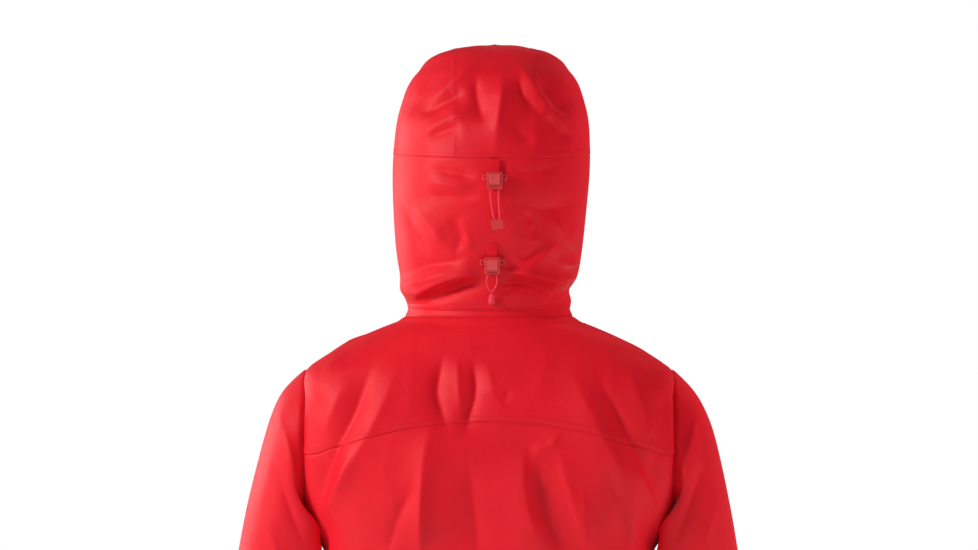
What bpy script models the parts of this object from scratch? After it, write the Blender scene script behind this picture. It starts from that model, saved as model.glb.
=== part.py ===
"""A hooded hardshell jacket in the shape it has when worn, hood up, standing on its hem.

Metres, +Z up. The wearer faces -Y, so +X is the wearer's left. The origin is at the
bottom centre, on the surface that the hem stands on. Every fabric panel is a thin shell
between two seams; the hardware (zips, cord locks, tabs) is made of small solids.
"""

import math

import bmesh
import bpy
import numpy as np
from mathutils import Matrix, Vector

# ---- driving dimensions -------------------------------------------------------------
FABRIC = 0.0025  # thickness of a panel with its lining and seam tape
GAP = 0.0004  # between pieces that touch
SEAM_ANGLE = 0.002  # the same gap at the side seams, round the body
Y_SHIFT = 0.01715  # brings the middle of the jacket, front to back, to the origin
BODY_Y = 0.012 + Y_SHIFT  # where the body is widest, front to back

NECK_LEVEL = 0.7375  # back neck seam
HEM_HEIGHT = 0.026
HEM_THICK = 0.0034
FRONT_FOOT_Y = -0.145 + Y_SHIFT  # front edge line at the hem, and its lean
FRONT_LEAN = 0.06
FRONT_EDGE_X = 0.0152  # each front panel ends here, beside the zip

# level, half width, back depth, drop of the front, squareness of the section
BODY_LEVELS = (
    (0.000, 0.2060, 0.131, 0.0000, 2.5),
    (0.100, 0.1990, 0.129, 0.0000, 2.5),
    (0.250, 0.1880, 0.127, 0.0000, 2.6),
    (0.400, 0.1835, 0.133, 0.0000, 2.7),
    (0.500, 0.1860, 0.141, 0.0020, 3.1),
    (0.550, 0.1955, 0.1435, 0.0140, 3.9),
    (0.600, 0.2030, 0.143, 0.0320, 4.5),
    (0.640, 0.2042, 0.139, 0.0480, 4.3),
    (0.682, 0.2020, 0.128, 0.0650, 3.4),
    (0.700, 0.1765, 0.1205, 0.0695, 2.8),
    (0.716, 0.1460, 0.113, 0.0715, 2.5),
    (0.7275, 0.1190, 0.1065, 0.0715, 2.3),
    (NECK_LEVEL, 0.0925, 0.098, 0.0700, 2.1),
)
YOKE_TOP_Z = 0.6265  # yoke seam at the centre of the back
YOKE_FALL = 0.92  # and how it falls towards the armholes, per metre of x squared
YOKE_GAP = 0.0011  # wider than GAP, as the two panels bend apart beside the armholes

ARMHOLE_R = 0.085
ARMHOLE_Z = 0.595
ARMHOLE_X = 0.2025  # the plane that each armhole's edge lies in
ARMHOLE_REACH = 0.020  # the cloth this far round the edge is drawn out to it

# inner x, z and outer x, z of each sleeve section, then its y and its half depth
SLEEVE_SECTIONS = (
    (0.165, 0.5115, 0.165, 0.6785, 0.012, 0.0835),
    (0.2040, 0.5115, 0.2040, 0.6785, 0.012, 0.0835),
    (0.2070, 0.5070, 0.2110, 0.6750, 0.012, 0.0870),
    (0.2050, 0.4960, 0.2330, 0.6530, 0.012, 0.0895),
    (0.1990, 0.4840, 0.2490, 0.6180, 0.010, 0.0880),
    (0.1930, 0.4680, 0.2620, 0.5710, 0.008, 0.0845),
    (0.1905, 0.4450, 0.2735, 0.5185, 0.006, 0.0795),
    (0.1905, 0.4150, 0.2840, 0.4600, 0.004, 0.0745),
    (0.1930, 0.3850, 0.2930, 0.4000, 0.001, 0.0700),
    (0.1990, 0.3300, 0.3005, 0.3350, -0.004, 0.0655),
    (0.2045, 0.2600, 0.3050, 0.2620, -0.014, 0.0600),
    (0.2125, 0.1800, 0.3055, 0.1820, -0.028, 0.0545),
    (0.2200, 0.1000, 0.3030, 0.1020, -0.042, 0.0490),
    (0.2230, 0.0560, 0.3015, 0.0580, -0.050, 0.0470),
)
ELBOW = 9.0  # section at which the upper sleeve meets the forearm
CUFF_TOP = 12.35  # section at which the cuff band starts
TAB_TURNS = (math.radians(112), math.radians(-38))  # the tab's ends, round the cuff
TAB_THICK = 0.0016
TAB_GAP = 0.0009
PATCH_TURNS = (math.radians(-44), math.radians(-78))

COLLAR_BACK_Z = 0.752
COLLAR_FRONT_Z = 0.768
COLLAR_HALF_WIDTH = 0.0905
COLLAR_BACK_Y = 0.100 + Y_SHIFT
HANGER_HALF_WIDTH = 0.032
HOOD_SEAT = 0.0018  # the hood starts this far above the collar
HINGE_Y = COLLAR_BACK_Y + 0.001
HINGE_Z = COLLAR_BACK_Z + 0.0005

# hood rows from the neck to the ridge over the head: share, back y, z, side half width,
# y, z, face edge x, y, z, squareness
HOOD_ROWS = (
    (0.00, 0.0990, 0.7520, 0.0905, 0.005, 0.7560, 0.050, -0.084, 0.7665, 2.2),
    (0.15, 0.1080, 0.7900, 0.1010, 0.005, 0.7920, 0.067, -0.090, 0.8000, 2.3),
    (0.35, 0.1240, 0.8500, 0.1075, 0.005, 0.8520, 0.081, -0.098, 0.8520, 2.4),
    (0.55, 0.1275, 0.9125, 0.1095, 0.000, 0.9215, 0.086, -0.110, 0.9040, 2.4),
    (0.72, 0.1130, 0.9730, 0.1040, -0.005, 0.9760, 0.082, -0.122, 0.9460, 2.3),
    (0.85, 0.0820, 1.0170, 0.0900, -0.015, 1.0130, 0.066, -0.132, 0.9770, 2.2),
    (0.94, 0.0450, 1.0390, 0.0650, -0.030, 1.0365, 0.040, -0.139, 0.9950, 2.1),
    (1.00, 0.0000, 1.0475, 0.0000, -0.045, 1.0465, 0.000, -0.142, 1.0020, 2.0),
)
HOOD_SIDE = 0.55  # share of a row, from the centre of the back, at which it is widest
HOOD_SEAM = 0.55  # row of the seam between the lower panel and the crown
CROWN_HALF_WIDTH = 0.048
BRIM_DEPTH = 0.034
BRIM_DROP = 0.012
BRIM_ROWS = 0.20  # the brim follows this share of the rows, down from the ridge

ZIP_TAPE_WIDTH = 0.0140
ZIP_CHAIN_GAP = 0.0014  # the slider's neck runs in it
ZIP_TAPE_THICK = 0.0016
ZIP_BOTTOM_Z = 0.0192
ZIP_TOP_Z = 0.764
MAIN_SLIDER_Z = 0.742

PULL_WIDTH = 0.0070
PULL_LENGTH = 0.0240
PULL_THICK = 0.0011
PULL_EYE = 0.0062
PULL_AXIS_Y = -0.0023  # from the middle of its slider

POCKET_TOP = (0.1290, 0.405)  # x and z of each end of the left hand pocket's zip
POCKET_FOOT = (0.1050, 0.225)
POCKET_STRIP_WIDTH = 0.013

LOCK_WIDTH = 0.0168
LOCK_HEIGHT = 0.0190
LOCK_DEPTH = 0.0062
LOCK_WALL = 0.0019
LOCK_STAND_OFF = 0.0022  # from the cloth to the lock's back
UPPER_LOCK_X = -0.0060
UPPER_LOCK_Z = 0.8885
LOWER_LOCK_X = -0.0035
LOWER_LOCK_Z = 0.7975
LOWER_LOCK_TILT = math.radians(-14)
CORD_DIAMETER = 0.0020
BUTTON_TRAVEL = 0.0018
WELL_BACK = 0.0014
HEM_LOCK_Z = 0.066
HEM_LOCK_SCALE = 0.85
HEM_LOCK_ANGLE = math.radians(-27)  # round the body, from +X towards the front

RED = (0.80, 0.022, 0.040)


# ---- curves and surfaces ------------------------------------------------------------
def through(t, knots, values):
    """The value at t of a smooth curve through the values at the knots."""
    knots = np.asarray(knots, float)
    values = np.asarray(values, float)
    slopes = np.gradient(values, knots)
    i = int(np.clip(np.searchsorted(knots, t) - 1, 0, len(knots) - 2))
    span = knots[i + 1] - knots[i]
    s = (t - knots[i]) / span
    return float(
        values[i] * (1 + 2 * s) * (1 - s) ** 2
        + slopes[i] * span * s * (1 - s) ** 2
        + values[i + 1] * s * s * (3 - 2 * s)
        + slopes[i + 1] * span * s * s * (s - 1)
    )


def column(rows, i):
    return [row[i] for row in rows]


def front_line_y(z):
    """y of the front edge line, which is straight so that the zip's slider can run."""
    return FRONT_FOOT_Y + FRONT_LEAN * z


def oval(angle, half_width, front, back, squareness):
    """Distance from the middle to a section's outline, at an angle from +X."""
    c, s = abs(math.cos(angle)), abs(math.sin(angle))
    depth = back if math.sin(angle) > 0 else front
    return ((c / half_width) ** squareness + (s / depth) ** squareness) ** (-1 / squareness)


def ring_point(angle, half_width, front_y, back_y, squareness, z):
    r = oval(angle, half_width, BODY_Y - front_y, back_y - BODY_Y, squareness)
    return Vector((r * math.cos(angle), BODY_Y + r * math.sin(angle), z))


def step(value, low, high):
    """0 up to low, 1 from high, and a smooth step between them."""
    t = min(1.0, max(0.0, (value - low) / (high - low)))
    return t * t * (3 - 2 * t)


def drawn_to_armhole(p):
    """A point of the body, moved sideways towards the plane of an armhole it is close to."""
    up = p.z - ARMHOLE_Z
    away = math.hypot(p.y - BODY_Y, up)
    below = max(0.0, -up / max(away, 1e-6))
    near = 1 - step(away, ARMHOLE_R + 0.001, ARMHOLE_R + ARMHOLE_REACH * (1 + below))
    share = near * (1 - step(p.z, 0.640, 0.675))
    return Vector((p.x + share * (math.copysign(ARMHOLE_X, p.x) - p.x), p.y, p.z))


def body_point(angle, level):
    """A point of the body's outer surface. Angle 0 is the left side, 90 degrees the back."""
    levels = column(BODY_LEVELS, 0)
    half_width, back, drop, squareness = (
        through(level, levels, column(BODY_LEVELS, i)) for i in (1, 2, 3, 4)
    )
    fall = drop * max(0.0, -math.sin(angle)) ** 2
    front_y = front_line_y(level - drop)
    p = ring_point(angle, half_width, front_y, back + Y_SHIFT, squareness, level - fall)
    return drawn_to_armhole(p)


def collar_point(angle, share):
    """A point of the collar, from the neck seam (0) to its top edge (1)."""
    low = body_point(angle, NECK_LEVEL)
    ahead = max(0.0, -math.sin(angle)) ** 2
    top_z = COLLAR_BACK_Z + 0.003 * math.cos(angle) ** 2
    top_z += (COLLAR_FRONT_Z - COLLAR_BACK_Z) * ahead
    front_y = front_line_y(COLLAR_FRONT_Z)
    high = ring_point(angle, COLLAR_HALF_WIDTH, front_y, COLLAR_BACK_Y, 2.2, top_z)
    return low.lerp(high, share)


def front_edge_angle(surface, height, side=1):
    """The angle at which a surface reaches the edge of the zip, left or right of it."""
    angle = -math.pi / 2
    for _ in range(4):
        p = surface(angle, height)
        r = math.hypot(p.x, p.y - BODY_Y)
        angle = -math.pi / 2 + math.asin(FRONT_EDGE_X / r)
    return angle if side > 0 else math.pi - angle


def yoke_level(angle):
    """The level of the yoke seam at an angle on the back."""
    level = YOKE_TOP_Z
    for _ in range(3):
        level = YOKE_TOP_Z - YOKE_FALL * body_point(angle, level).x ** 2
    return level


def hood_point(across, row):
    """A point of the hood. Across runs from the left face edge (0), round the back (0.5),
    to the right face edge (1). Row runs from the neck (0) to the ridge over the head (1)."""
    shares = column(HOOD_ROWS, 0)
    back_y, back_z, side_x, side_y, side_z, face_x, face_y, face_z, squareness = (
        through(row, shares, column(HOOD_ROWS, i)) for i in range(1, 10)
    )
    side_x = max(side_x, 1e-6)
    hand = 1 if across < 0.5 else -1
    away = abs(2 * across - 1)
    if away < HOOD_SIDE:
        turn = away / HOOD_SIDE * math.pi / 2
        r = oval(math.pi / 2 - turn, side_x, 1.0, back_y - side_y, squareness)
        x, y = r * math.sin(turn), side_y + r * math.cos(turn)
        z = back_z + (side_z - back_z) * math.sin(turn) ** 2
    else:
        ahead = (away - HOOD_SIDE) / (1 - HOOD_SIDE)
        x = side_x + (face_x - side_x) * ahead**2
        y = side_y + (face_y - side_y) * ahead
        z = side_z + (face_z - side_z) * ahead**2
    return Vector((hand * x, y + Y_SHIFT, z))


def sleeve_point(turn, section, grow=0.0):
    """A point of the left sleeve. Section counts along it, from the armhole to the cuff."""
    numbers = list(range(len(SLEEVE_SECTIONS)))
    in_x, in_z, out_x, out_z, y, depth = (
        through(section, numbers, column(SLEEVE_SECTIONS, i)) for i in range(6)
    )
    inner, outer = Vector((in_x, y + Y_SHIFT, in_z)), Vector((out_x, y + Y_SHIFT, out_z))
    middle, half = (inner + outer) / 2, (outer - inner) / 2
    half += half.normalized() * grow
    return middle + half * math.cos(turn) + Vector((0, (depth + grow) * math.sin(turn), 0))


# ---- making solids ------------------------------------------------------------------
def clear_scene():
    for obj in list(bpy.data.objects):
        bpy.data.objects.remove(obj)


def material(name, colour, roughness, metallic=0.0):
    made = bpy.data.materials.new(name)
    made.use_nodes = True
    shader = made.node_tree.nodes["Principled BSDF"]
    shader.inputs["Base Color"].default_value = (*colour, 1)
    shader.inputs["Roughness"].default_value = roughness
    shader.inputs["Metallic"].default_value = metallic
    return made


def link(name, bm, finish, smooth=True):
    """Puts a bmesh into the scene as a named object."""
    bm.normal_update()
    bmesh.ops.recalc_face_normals(bm, faces=bm.faces)
    mesh = bpy.data.meshes.new(name)
    bm.to_mesh(mesh)
    bm.free()
    if smooth:
        mesh.shade_smooth()
        mesh.set_sharp_from_angle(angle=math.radians(35))
    mesh.materials.append(finish)
    obj = bpy.data.objects.new(name, mesh)
    bpy.context.scene.collection.objects.link(obj)
    return obj


def grid_normals(p, closed, ridge):
    """Outward normals of a grid whose first index runs round, and second one up."""
    around = np.roll(p, -1, 0) - np.roll(p, 1, 0) if closed else np.gradient(p, axis=0)
    normals = np.cross(around, np.gradient(p, axis=1))
    if ridge:
        normals[:, -1] = normals[:, -2] * (0, 1, 1)
    return normals / np.linalg.norm(normals, axis=2, keepdims=True)


def shell(
    name,
    surface,
    columns,
    rows,
    finish,
    *,
    closed=False,
    thick=FABRIC,
    lift=0.0,
    mirror=False,
    ridge=False,
    level=False,
):
    """A thin solid between an outer surface and the same surface moved inwards.

    surface(i, j) takes shares from 0 to 1. A closed shell is a tube. With a ridge, the
    last row lies folded on itself, and its two halves share their points. A level shell
    is moved inwards without rising, so that its edges are flat."""
    steps = columns if closed else columns + 1
    p = np.array(
        [[surface(i / columns, j / rows) for j in range(rows + 1)] for i in range(steps)]
    )
    normals = grid_normals(p, closed, ridge)
    if level:
        normals[:, :, 2] = 0
    outer = p + lift * normals
    inner = outer - thick * normals
    flip = (-1, 1, 1) if mirror else (1, 1, 1)
    bm = bmesh.new()
    out, inn = (
        [[bm.verts.new(point * flip) for point in line] for line in layer]
        for layer in (outer, inner)
    )
    if ridge:
        for verts in (out, inn):
            for i in range(steps // 2):
                bm.verts.remove(verts[-1 - i][-1])
                verts[-1 - i][-1] = verts[i][-1]
    for i in range(columns):
        nxt = (i + 1) % steps
        for verts in (out, inn):
            for j in range(rows):
                bm.faces.new(
                    (verts[i][j], verts[nxt][j], verts[nxt][j + 1], verts[i][j + 1])
                )
        bm.faces.new((out[i][0], out[nxt][0], inn[nxt][0], inn[i][0]))
        if not ridge:
            bm.faces.new((out[i][-1], out[nxt][-1], inn[nxt][-1], inn[i][-1]))
    if not closed:
        for i in (0, -1):
            for j in range(rows):
                bm.faces.new((out[i][j], out[i][j + 1], inn[i][j + 1], inn[i][j]))
    return link(name, bm, finish)


def block(name, size, place, finish, bevel=0.0, segments=2):
    """A box with rounded edges. Place is a matrix."""
    bm = bmesh.new()
    bmesh.ops.create_cube(bm, size=1.0, matrix=Matrix.Diagonal((*size, 1)))
    if bevel:
        bmesh.ops.bevel(bm, geom=bm.edges, offset=bevel, segments=segments, affect="EDGES", profile=0.5)
    bm.transform(place)
    return link(name, bm, finish)


def cylinder_cutter(name, radius, length, place):
    """A cylinder along X that cuts and isn't itself a part."""
    bm = bmesh.new()
    bmesh.ops.create_cone(
        bm, cap_ends=True, segments=40, radius1=radius, radius2=radius, depth=length
    )
    bm.transform(place @ Matrix.Rotation(math.pi / 2, 4, "Y"))
    return helper(link(name, bm, FINISH["trim"]))


def helper(obj):
    obj.hide_render = True
    obj.display_type = "WIRE"
    return obj


def boolean(obj, operation, other):
    made = obj.modifiers.new(operation.title(), "BOOLEAN")
    made.operation = operation
    made.object = other
    made.solver = "EXACT"
    return obj


def cord(name, points, finish, diameter=CORD_DIAMETER):
    """A soft cord along a smooth curve through the points."""
    knots = list(range(len(points)))
    count = 3 * len(points)
    line = [
        [through(k / count * knots[-1], knots, column(points, i)) for i in range(3)]
        for k in range(count + 1)
    ]
    data = bpy.data.curves.new(name, "CURVE")
    data.dimensions = "3D"
    data.bevel_depth = diameter / 2
    data.bevel_resolution = 2
    data.use_fill_caps = True
    spline = data.splines.new("POLY")
    spline.points.add(count)
    for point, place in zip(spline.points, line):
        point.co = (*place, 1)
    data.materials.append(finish)
    obj = bpy.data.objects.new(name, data)
    bpy.context.scene.collection.objects.link(obj)
    return obj


# ---- the fabric shell ---------------------------------------------------------------
def side_seam_patch(low, high):
    """A surface on the back, between two levels that may change with the angle."""

    def surface(i, j):
        angle = SEAM_ANGLE + (math.pi - 2 * SEAM_ANGLE) * i
        return body_point(angle, low(angle) + (high(angle) - low(angle)) * j)

    return surface


def front_patch(low, high, from_edge=0.0, to_angle=None):
    """A surface on the left front, from beside the zip to an angle at the side."""

    def surface(i, j):
        level = low + (high - low) * j
        start = front_edge_angle(body_point, level) + from_edge
        end = -SEAM_ANGLE if to_angle is None else to_angle
        return body_point(start + (end - start) * i, level)

    return surface


def make_body():
    cloth = FINISH["shell"]
    low, high = HEM_HEIGHT + GAP, NECK_LEVEL - GAP
    below_yoke = side_seam_patch(lambda a: low, lambda a: yoke_level(a) - YOKE_GAP)
    above_yoke = side_seam_patch(yoke_level, lambda a: high)
    back = shell("back_panel", below_yoke, 28, 14, cloth)
    yoke = shell("back_yoke", above_yoke, 28, 8, cloth)
    for side, hand in (("left", 1), ("right", -1)):
        mirror = side == "right"
        front = shell(f"front_panel_{side}", front_patch(low, high), 13, 20, cloth, mirror=mirror)
        place = Matrix.Translation((hand * 0.20, BODY_Y, ARMHOLE_Z))
        cutter = cylinder_cutter(f"armhole_cutter_{side}", ARMHOLE_R, 0.16, place)
        for panel in (back, yoke, front):
            boolean(panel, "DIFFERENCE", cutter)


def make_hem():
    cloth = FINISH["shell"]
    behind = side_seam_patch(lambda a: 0.0, lambda a: HEM_HEIGHT)
    shell("hem_band_back", behind, 20, 1, cloth, thick=HEM_THICK, level=True)
    for side in ("left", "right"):
        ahead = front_patch(0.0, HEM_HEIGHT)
        mirror = side == "right"
        shell(f"hem_band_{side}", ahead, 10, 1, cloth, thick=HEM_THICK, level=True, mirror=mirror)


def make_collar():
    def band(i, j):
        start = front_edge_angle(collar_point, j)
        return collar_point(start + (math.pi - 2 * start) * i, j) + Vector((0, 0, GAP))

    def lining(i, j):
        start = front_edge_angle(collar_point, j) + 0.10
        return collar_point(start + math.radians(56) * i, 0.12 + 0.80 * j)

    shell("collar", band, 28, 3, FINISH["shell"])
    for side in ("left", "right"):
        shell(
            f"chin_guard_{side}",
            lining,
            8,
            3,
            FINISH["lining"],
            thick=0.0010,
            lift=-FABRIC - 0.0014,
            mirror=side == "right",
        )


def sleeve_run(first, last, start=0.0, end=-2 * math.pi, grow=0.0):
    """A surface on the sleeve. It turns backwards, as sections count down the sleeve."""
    return lambda i, j: sleeve_point(start + (end - start) * i, first + (last - first) * j, grow)


def make_sleeves():
    cloth, trim = FINISH["shell"], FINISH["trim"]
    upper = sleeve_run(0, ELBOW - 0.006)
    forearm = sleeve_run(ELBOW, CUFF_TOP - 0.012)
    band = sleeve_run(CUFF_TOP, 13)
    ends = (CUFF_TOP + 0.06, CUFF_TOP + 0.62)
    tab = sleeve_run(*ends, *TAB_TURNS, TAB_GAP + TAB_THICK)
    patch = sleeve_run(*ends, *PATCH_TURNS, 0.0014)
    for side in ("left", "right"):
        mirror = side == "right"
        shell(f"upper_sleeve_{side}", upper, 20, 11, cloth, closed=True, mirror=mirror)
        shell(f"forearm_sleeve_{side}", forearm, 20, 5, cloth, closed=True, mirror=mirror)
        shell(f"cuff_band_{side}", band, 20, 1, cloth, closed=True, mirror=mirror)
        shell(f"cuff_tab_{side}", tab, 12, 2, trim, thick=TAB_THICK, mirror=mirror)
        shell(f"cuff_loop_patch_{side}", patch, 4, 1, trim, thick=0.0010, mirror=mirror)


def make_hood():
    cloth = FINISH["shell"]

    def lower(i, j):
        lift = HOOD_SEAT * (1 - j)
        return hood_point(i, (HOOD_SEAM - 0.0015) * j) + Vector((0, 0, lift))

    def upper(i, j):
        return hood_point(i, HOOD_SEAM + (1 - HOOD_SEAM) * j)

    def brim(i, j):
        away = 2 * i - 1
        edge = hood_point(0.0 if away < 0 else 1.0, 1 - BRIM_ROWS * abs(away))
        share = (1.08 - away * away) / 1.08 * (1 - j)
        return edge - Vector((0, 0.0012 + BRIM_DEPTH * share, BRIM_DROP * share))

    shell("hood_lower_panel", lower, 26, 7, cloth)
    shell("hood_brim", brim, 16, 2, cloth)
    # The crown is in three: each panel is what a slab keeps of the whole.
    side_x = 0.1 + CROWN_HALF_WIDTH + GAP
    slabs = (
        ("hood_crown_panel", 0, 2 * CROWN_HALF_WIDTH),
        ("hood_side_panel_left", side_x, 0.2),
        ("hood_side_panel_right", -side_x, 0.2),
    )
    for name, x, width in slabs:
        place = Matrix.Translation((x, 0, 1.0))
        slab = helper(block(f"{name}_slab", (width, 0.6, 0.6), place, cloth))
        boolean(shell(name, upper, 26, 7, cloth, ridge=True), "INTERSECT", slab)


def make_hanger():
    """The loop inside the back of the neck that the jacket hangs by."""

    def strap(i, j):
        across = 1 - 2 * i
        bow = 0.0078 + 0.008 * (1 - across**2)
        y = COLLAR_BACK_Y - FABRIC - bow
        return Vector((HANGER_HALF_WIDTH * across, y, 0.7395 + 0.008 * j))

    shell("hanger_loop", strap, 12, 1, FINISH["trim"], thick=0.0012)


# ---- zips ---------------------------------------------------------------------------
def front_frame(z, out=0.0):
    """A matrix on the front line: X across, Z up along the zip, -Y outwards."""
    lean = math.atan(FRONT_LEAN)
    turn = Matrix.Rotation(-lean, 4, "X")
    normal = turn @ Vector((0, -1, 0))
    place = Vector((0, front_line_y(z), z)) + normal * out
    return Matrix.Translation(place) @ turn


def pocket_frame(share, out):
    """A matrix on the left hand pocket's zip: Z up along it, -Y outwards from the panel."""
    ends = []
    for x, z in (POCKET_FOOT, POCKET_TOP):
        angle = -math.pi / 3
        for _ in range(12):
            p = body_point(angle, z)
            angle += (x - p.x) / math.hypot(p.x, p.y - BODY_Y)
        ends.append(body_point(angle, z))
    foot, top = ends
    up = (top - foot).normalized()
    near = body_point(angle + 0.05, POCKET_TOP[1]) - body_point(angle - 0.05, POCKET_TOP[1])
    normal = near.cross(up).normalized()
    across = up.cross(normal).normalized()
    turn = Matrix((across, -normal, up)).transposed().to_4x4()
    return Matrix.Translation(foot.lerp(top, share) + normal * out) @ turn


def zip_slider(name, place, finish, neck, height=0.0125):
    """A slider: a rounded plate over the chain, a bail on it and, if it has one, a neck
    between the chain's halves with a plate behind."""

    def piece(label, size, y, bevel=0.0):
        return helper(
            block(f"{name}_{label}", size, place @ Matrix.Translation((0, y, 0)), finish, bevel)
        )

    plate = block(name, (0.0082, 0.0022, height), place, finish, bevel=0.0007)
    boolean(plate, "UNION", piece("bail", (0.0024, 0.0034, 0.0050), -0.0026, 0.0004))
    boolean(plate, "DIFFERENCE", piece("slot", (0.0060, 0.0020, 0.0024), PULL_AXIS_Y))
    if neck:
        boolean(plate, "UNION", piece("neck", (0.0007, 0.0044, 0.0060), 0.0028))
        boolean(plate, "UNION", piece("rear", (0.0076, 0.0014, height - 0.001), 0.0051, 0.0004))
    return plate


def rounded_loop(width, height, radius, middle_z, per_corner=4):
    """Points round a rounded rectangle in X and Z."""
    loop = []
    for k in range(4 * per_corner):
        corner, step = divmod(k, per_corner)
        angle = (corner + step / (per_corner - 1)) * math.pi / 2
        sx = 1 if corner in (0, 3) else -1
        sz = 1 if corner in (0, 1) else -1
        x = sx * (width / 2 - radius) + radius * math.cos(angle)
        z = sz * (height / 2 - radius) + radius * math.sin(angle)
        loop.append((x, middle_z + z))
    return loop


def zip_pull(name, place, metal):
    """A pull: a flat rounded bar with the eye that hangs it from the bail."""
    outer = rounded_loop(PULL_WIDTH, PULL_LENGTH, 0.0016, (PULL_THICK - PULL_LENGTH) / 2)
    eye = rounded_loop(0.0036, PULL_EYE, 0.0010, -(PULL_THICK + PULL_EYE) / 2)
    bm = bmesh.new()
    rings = [
        [bm.verts.new((x, y, z)) for x, z in loop]
        for y in (-PULL_THICK / 2, PULL_THICK / 2)
        for loop in (outer, eye)
    ]
    count = len(outer)
    for one, other in ((0, 1), (1, 3), (3, 2), (2, 0)):
        for k in range(count):
            nxt = (k + 1) % count
            bm.faces.new((rings[one][k], rings[one][nxt], rings[other][nxt], rings[other][k]))
    bm.transform(place)
    return link(name, bm, metal)


def make_main_zip():
    length = (ZIP_TOP_Z - ZIP_BOTTOM_Z) / math.cos(math.atan(FRONT_LEAN))
    middle = (ZIP_TOP_Z + ZIP_BOTTOM_Z) / 2
    offset = ZIP_CHAIN_GAP / 2 + ZIP_TAPE_WIDTH / 2
    # The tapes lie just inside the panels' outer face.
    depth = -0.0014
    for side, hand in (("left", 1), ("right", -1)):
        block(
            f"zip_tape_{side}",
            (ZIP_TAPE_WIDTH, ZIP_TAPE_THICK, length),
            front_frame(middle, depth) @ Matrix.Translation((hand * offset, 0, 0)),
            FINISH["zip"],
        )
    flap_length = length - 0.012
    block(
        "zip_storm_flap",
        (0.040, 0.0008, flap_length),
        front_frame(middle, -0.0072),
        FINISH["lining"],
    )
    slider_out = depth + ZIP_TAPE_THICK / 2 + GAP + 0.0011
    zip_slider("main_zip_slider", front_frame(MAIN_SLIDER_Z, slider_out), FINISH["metal"], neck=True)
    zip_pull("main_zip_pull", front_frame(MAIN_SLIDER_Z, slider_out - PULL_AXIS_Y), FINISH["metal"])
    base_height = ZIP_BOTTOM_Z - GAP - 0.0003
    base = front_frame(0.0003 + base_height / 2, depth + 0.0002)
    block("zip_base", (0.0294, 0.0026, base_height), base, FINISH["metal"], 0.0007)


def make_pockets():
    foot, top = pocket_frame(0.0, 0.0).translation, pocket_frame(1.0, 0.0).translation
    length = (top - foot).length
    flip = Matrix.Diagonal((-1, 1, 1, 1))
    for side in ("left", "right"):
        mirror = flip if side == "right" else Matrix.Identity(4)
        strip_out = 0.0030
        strip = pocket_frame(0.5, strip_out)
        block(
            f"pocket_zip_{side}",
            (POCKET_STRIP_WIDTH, 0.0016, length),
            mirror @ strip,
            FINISH["zip"],
            0.0003,
            1,
        )
        slider_out = strip_out + 0.0008 + GAP + 0.0011
        slider_share = 1 - 0.010 / length
        place = mirror @ pocket_frame(slider_share, slider_out)
        zip_slider(f"pocket_slider_{side}", place, FINISH["metal"], neck=False, height=0.0110)
        pull_place = place @ Matrix.Translation((0, PULL_AXIS_Y, 0))
        zip_pull(f"pocket_pull_{side}", pull_place, FINISH["metal"])
        # The bag is cloth behind the front panel, between the zip and the front edge.
        shell(
            f"pocket_bag_{side}",
            front_patch(0.195, 0.430, from_edge=0.20, to_angle=-0.74),
            6,
            6,
            FINISH["lining"],
            thick=0.0016,
            lift=-FABRIC - 0.0030,
            mirror=side == "right",
        )


# ---- cord locks ---------------------------------------------------------------------
def hood_lock_frame(x, z, tilt):
    """A matrix on the hood's back: X across, Y outwards from the hood, Z up."""
    row = 0.0
    for _ in range(30):
        row += (z - hood_point(0.5, row).z) * 2
    turn = Matrix.Rotation(tilt, 4, "X")
    normal = turn @ Vector((0, 1, 0))
    place = hood_point(0.5, row) + Vector((x, 0, 0)) + normal * LOCK_STAND_OFF
    return Matrix.Translation(place) @ turn


def hem_lock_frame():
    """A matrix on the left front panel above the hem: Y outwards from it, Z up."""
    step = 0.02
    place = body_point(HEM_LOCK_ANGLE, HEM_LOCK_Z)
    ahead = body_point(HEM_LOCK_ANGLE + step, HEM_LOCK_Z)
    behind = body_point(HEM_LOCK_ANGLE - step, HEM_LOCK_Z)
    above = body_point(HEM_LOCK_ANGLE, HEM_LOCK_Z + step)
    across = (behind - ahead).normalized()
    normal = (above - place).cross(across).normalized()
    up = across.cross(normal).normalized()
    turn = Matrix((across, normal, up)).transposed().to_4x4()
    return Matrix.Translation(place + normal * (LOCK_STAND_OFF + 0.0012)) @ turn


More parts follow.
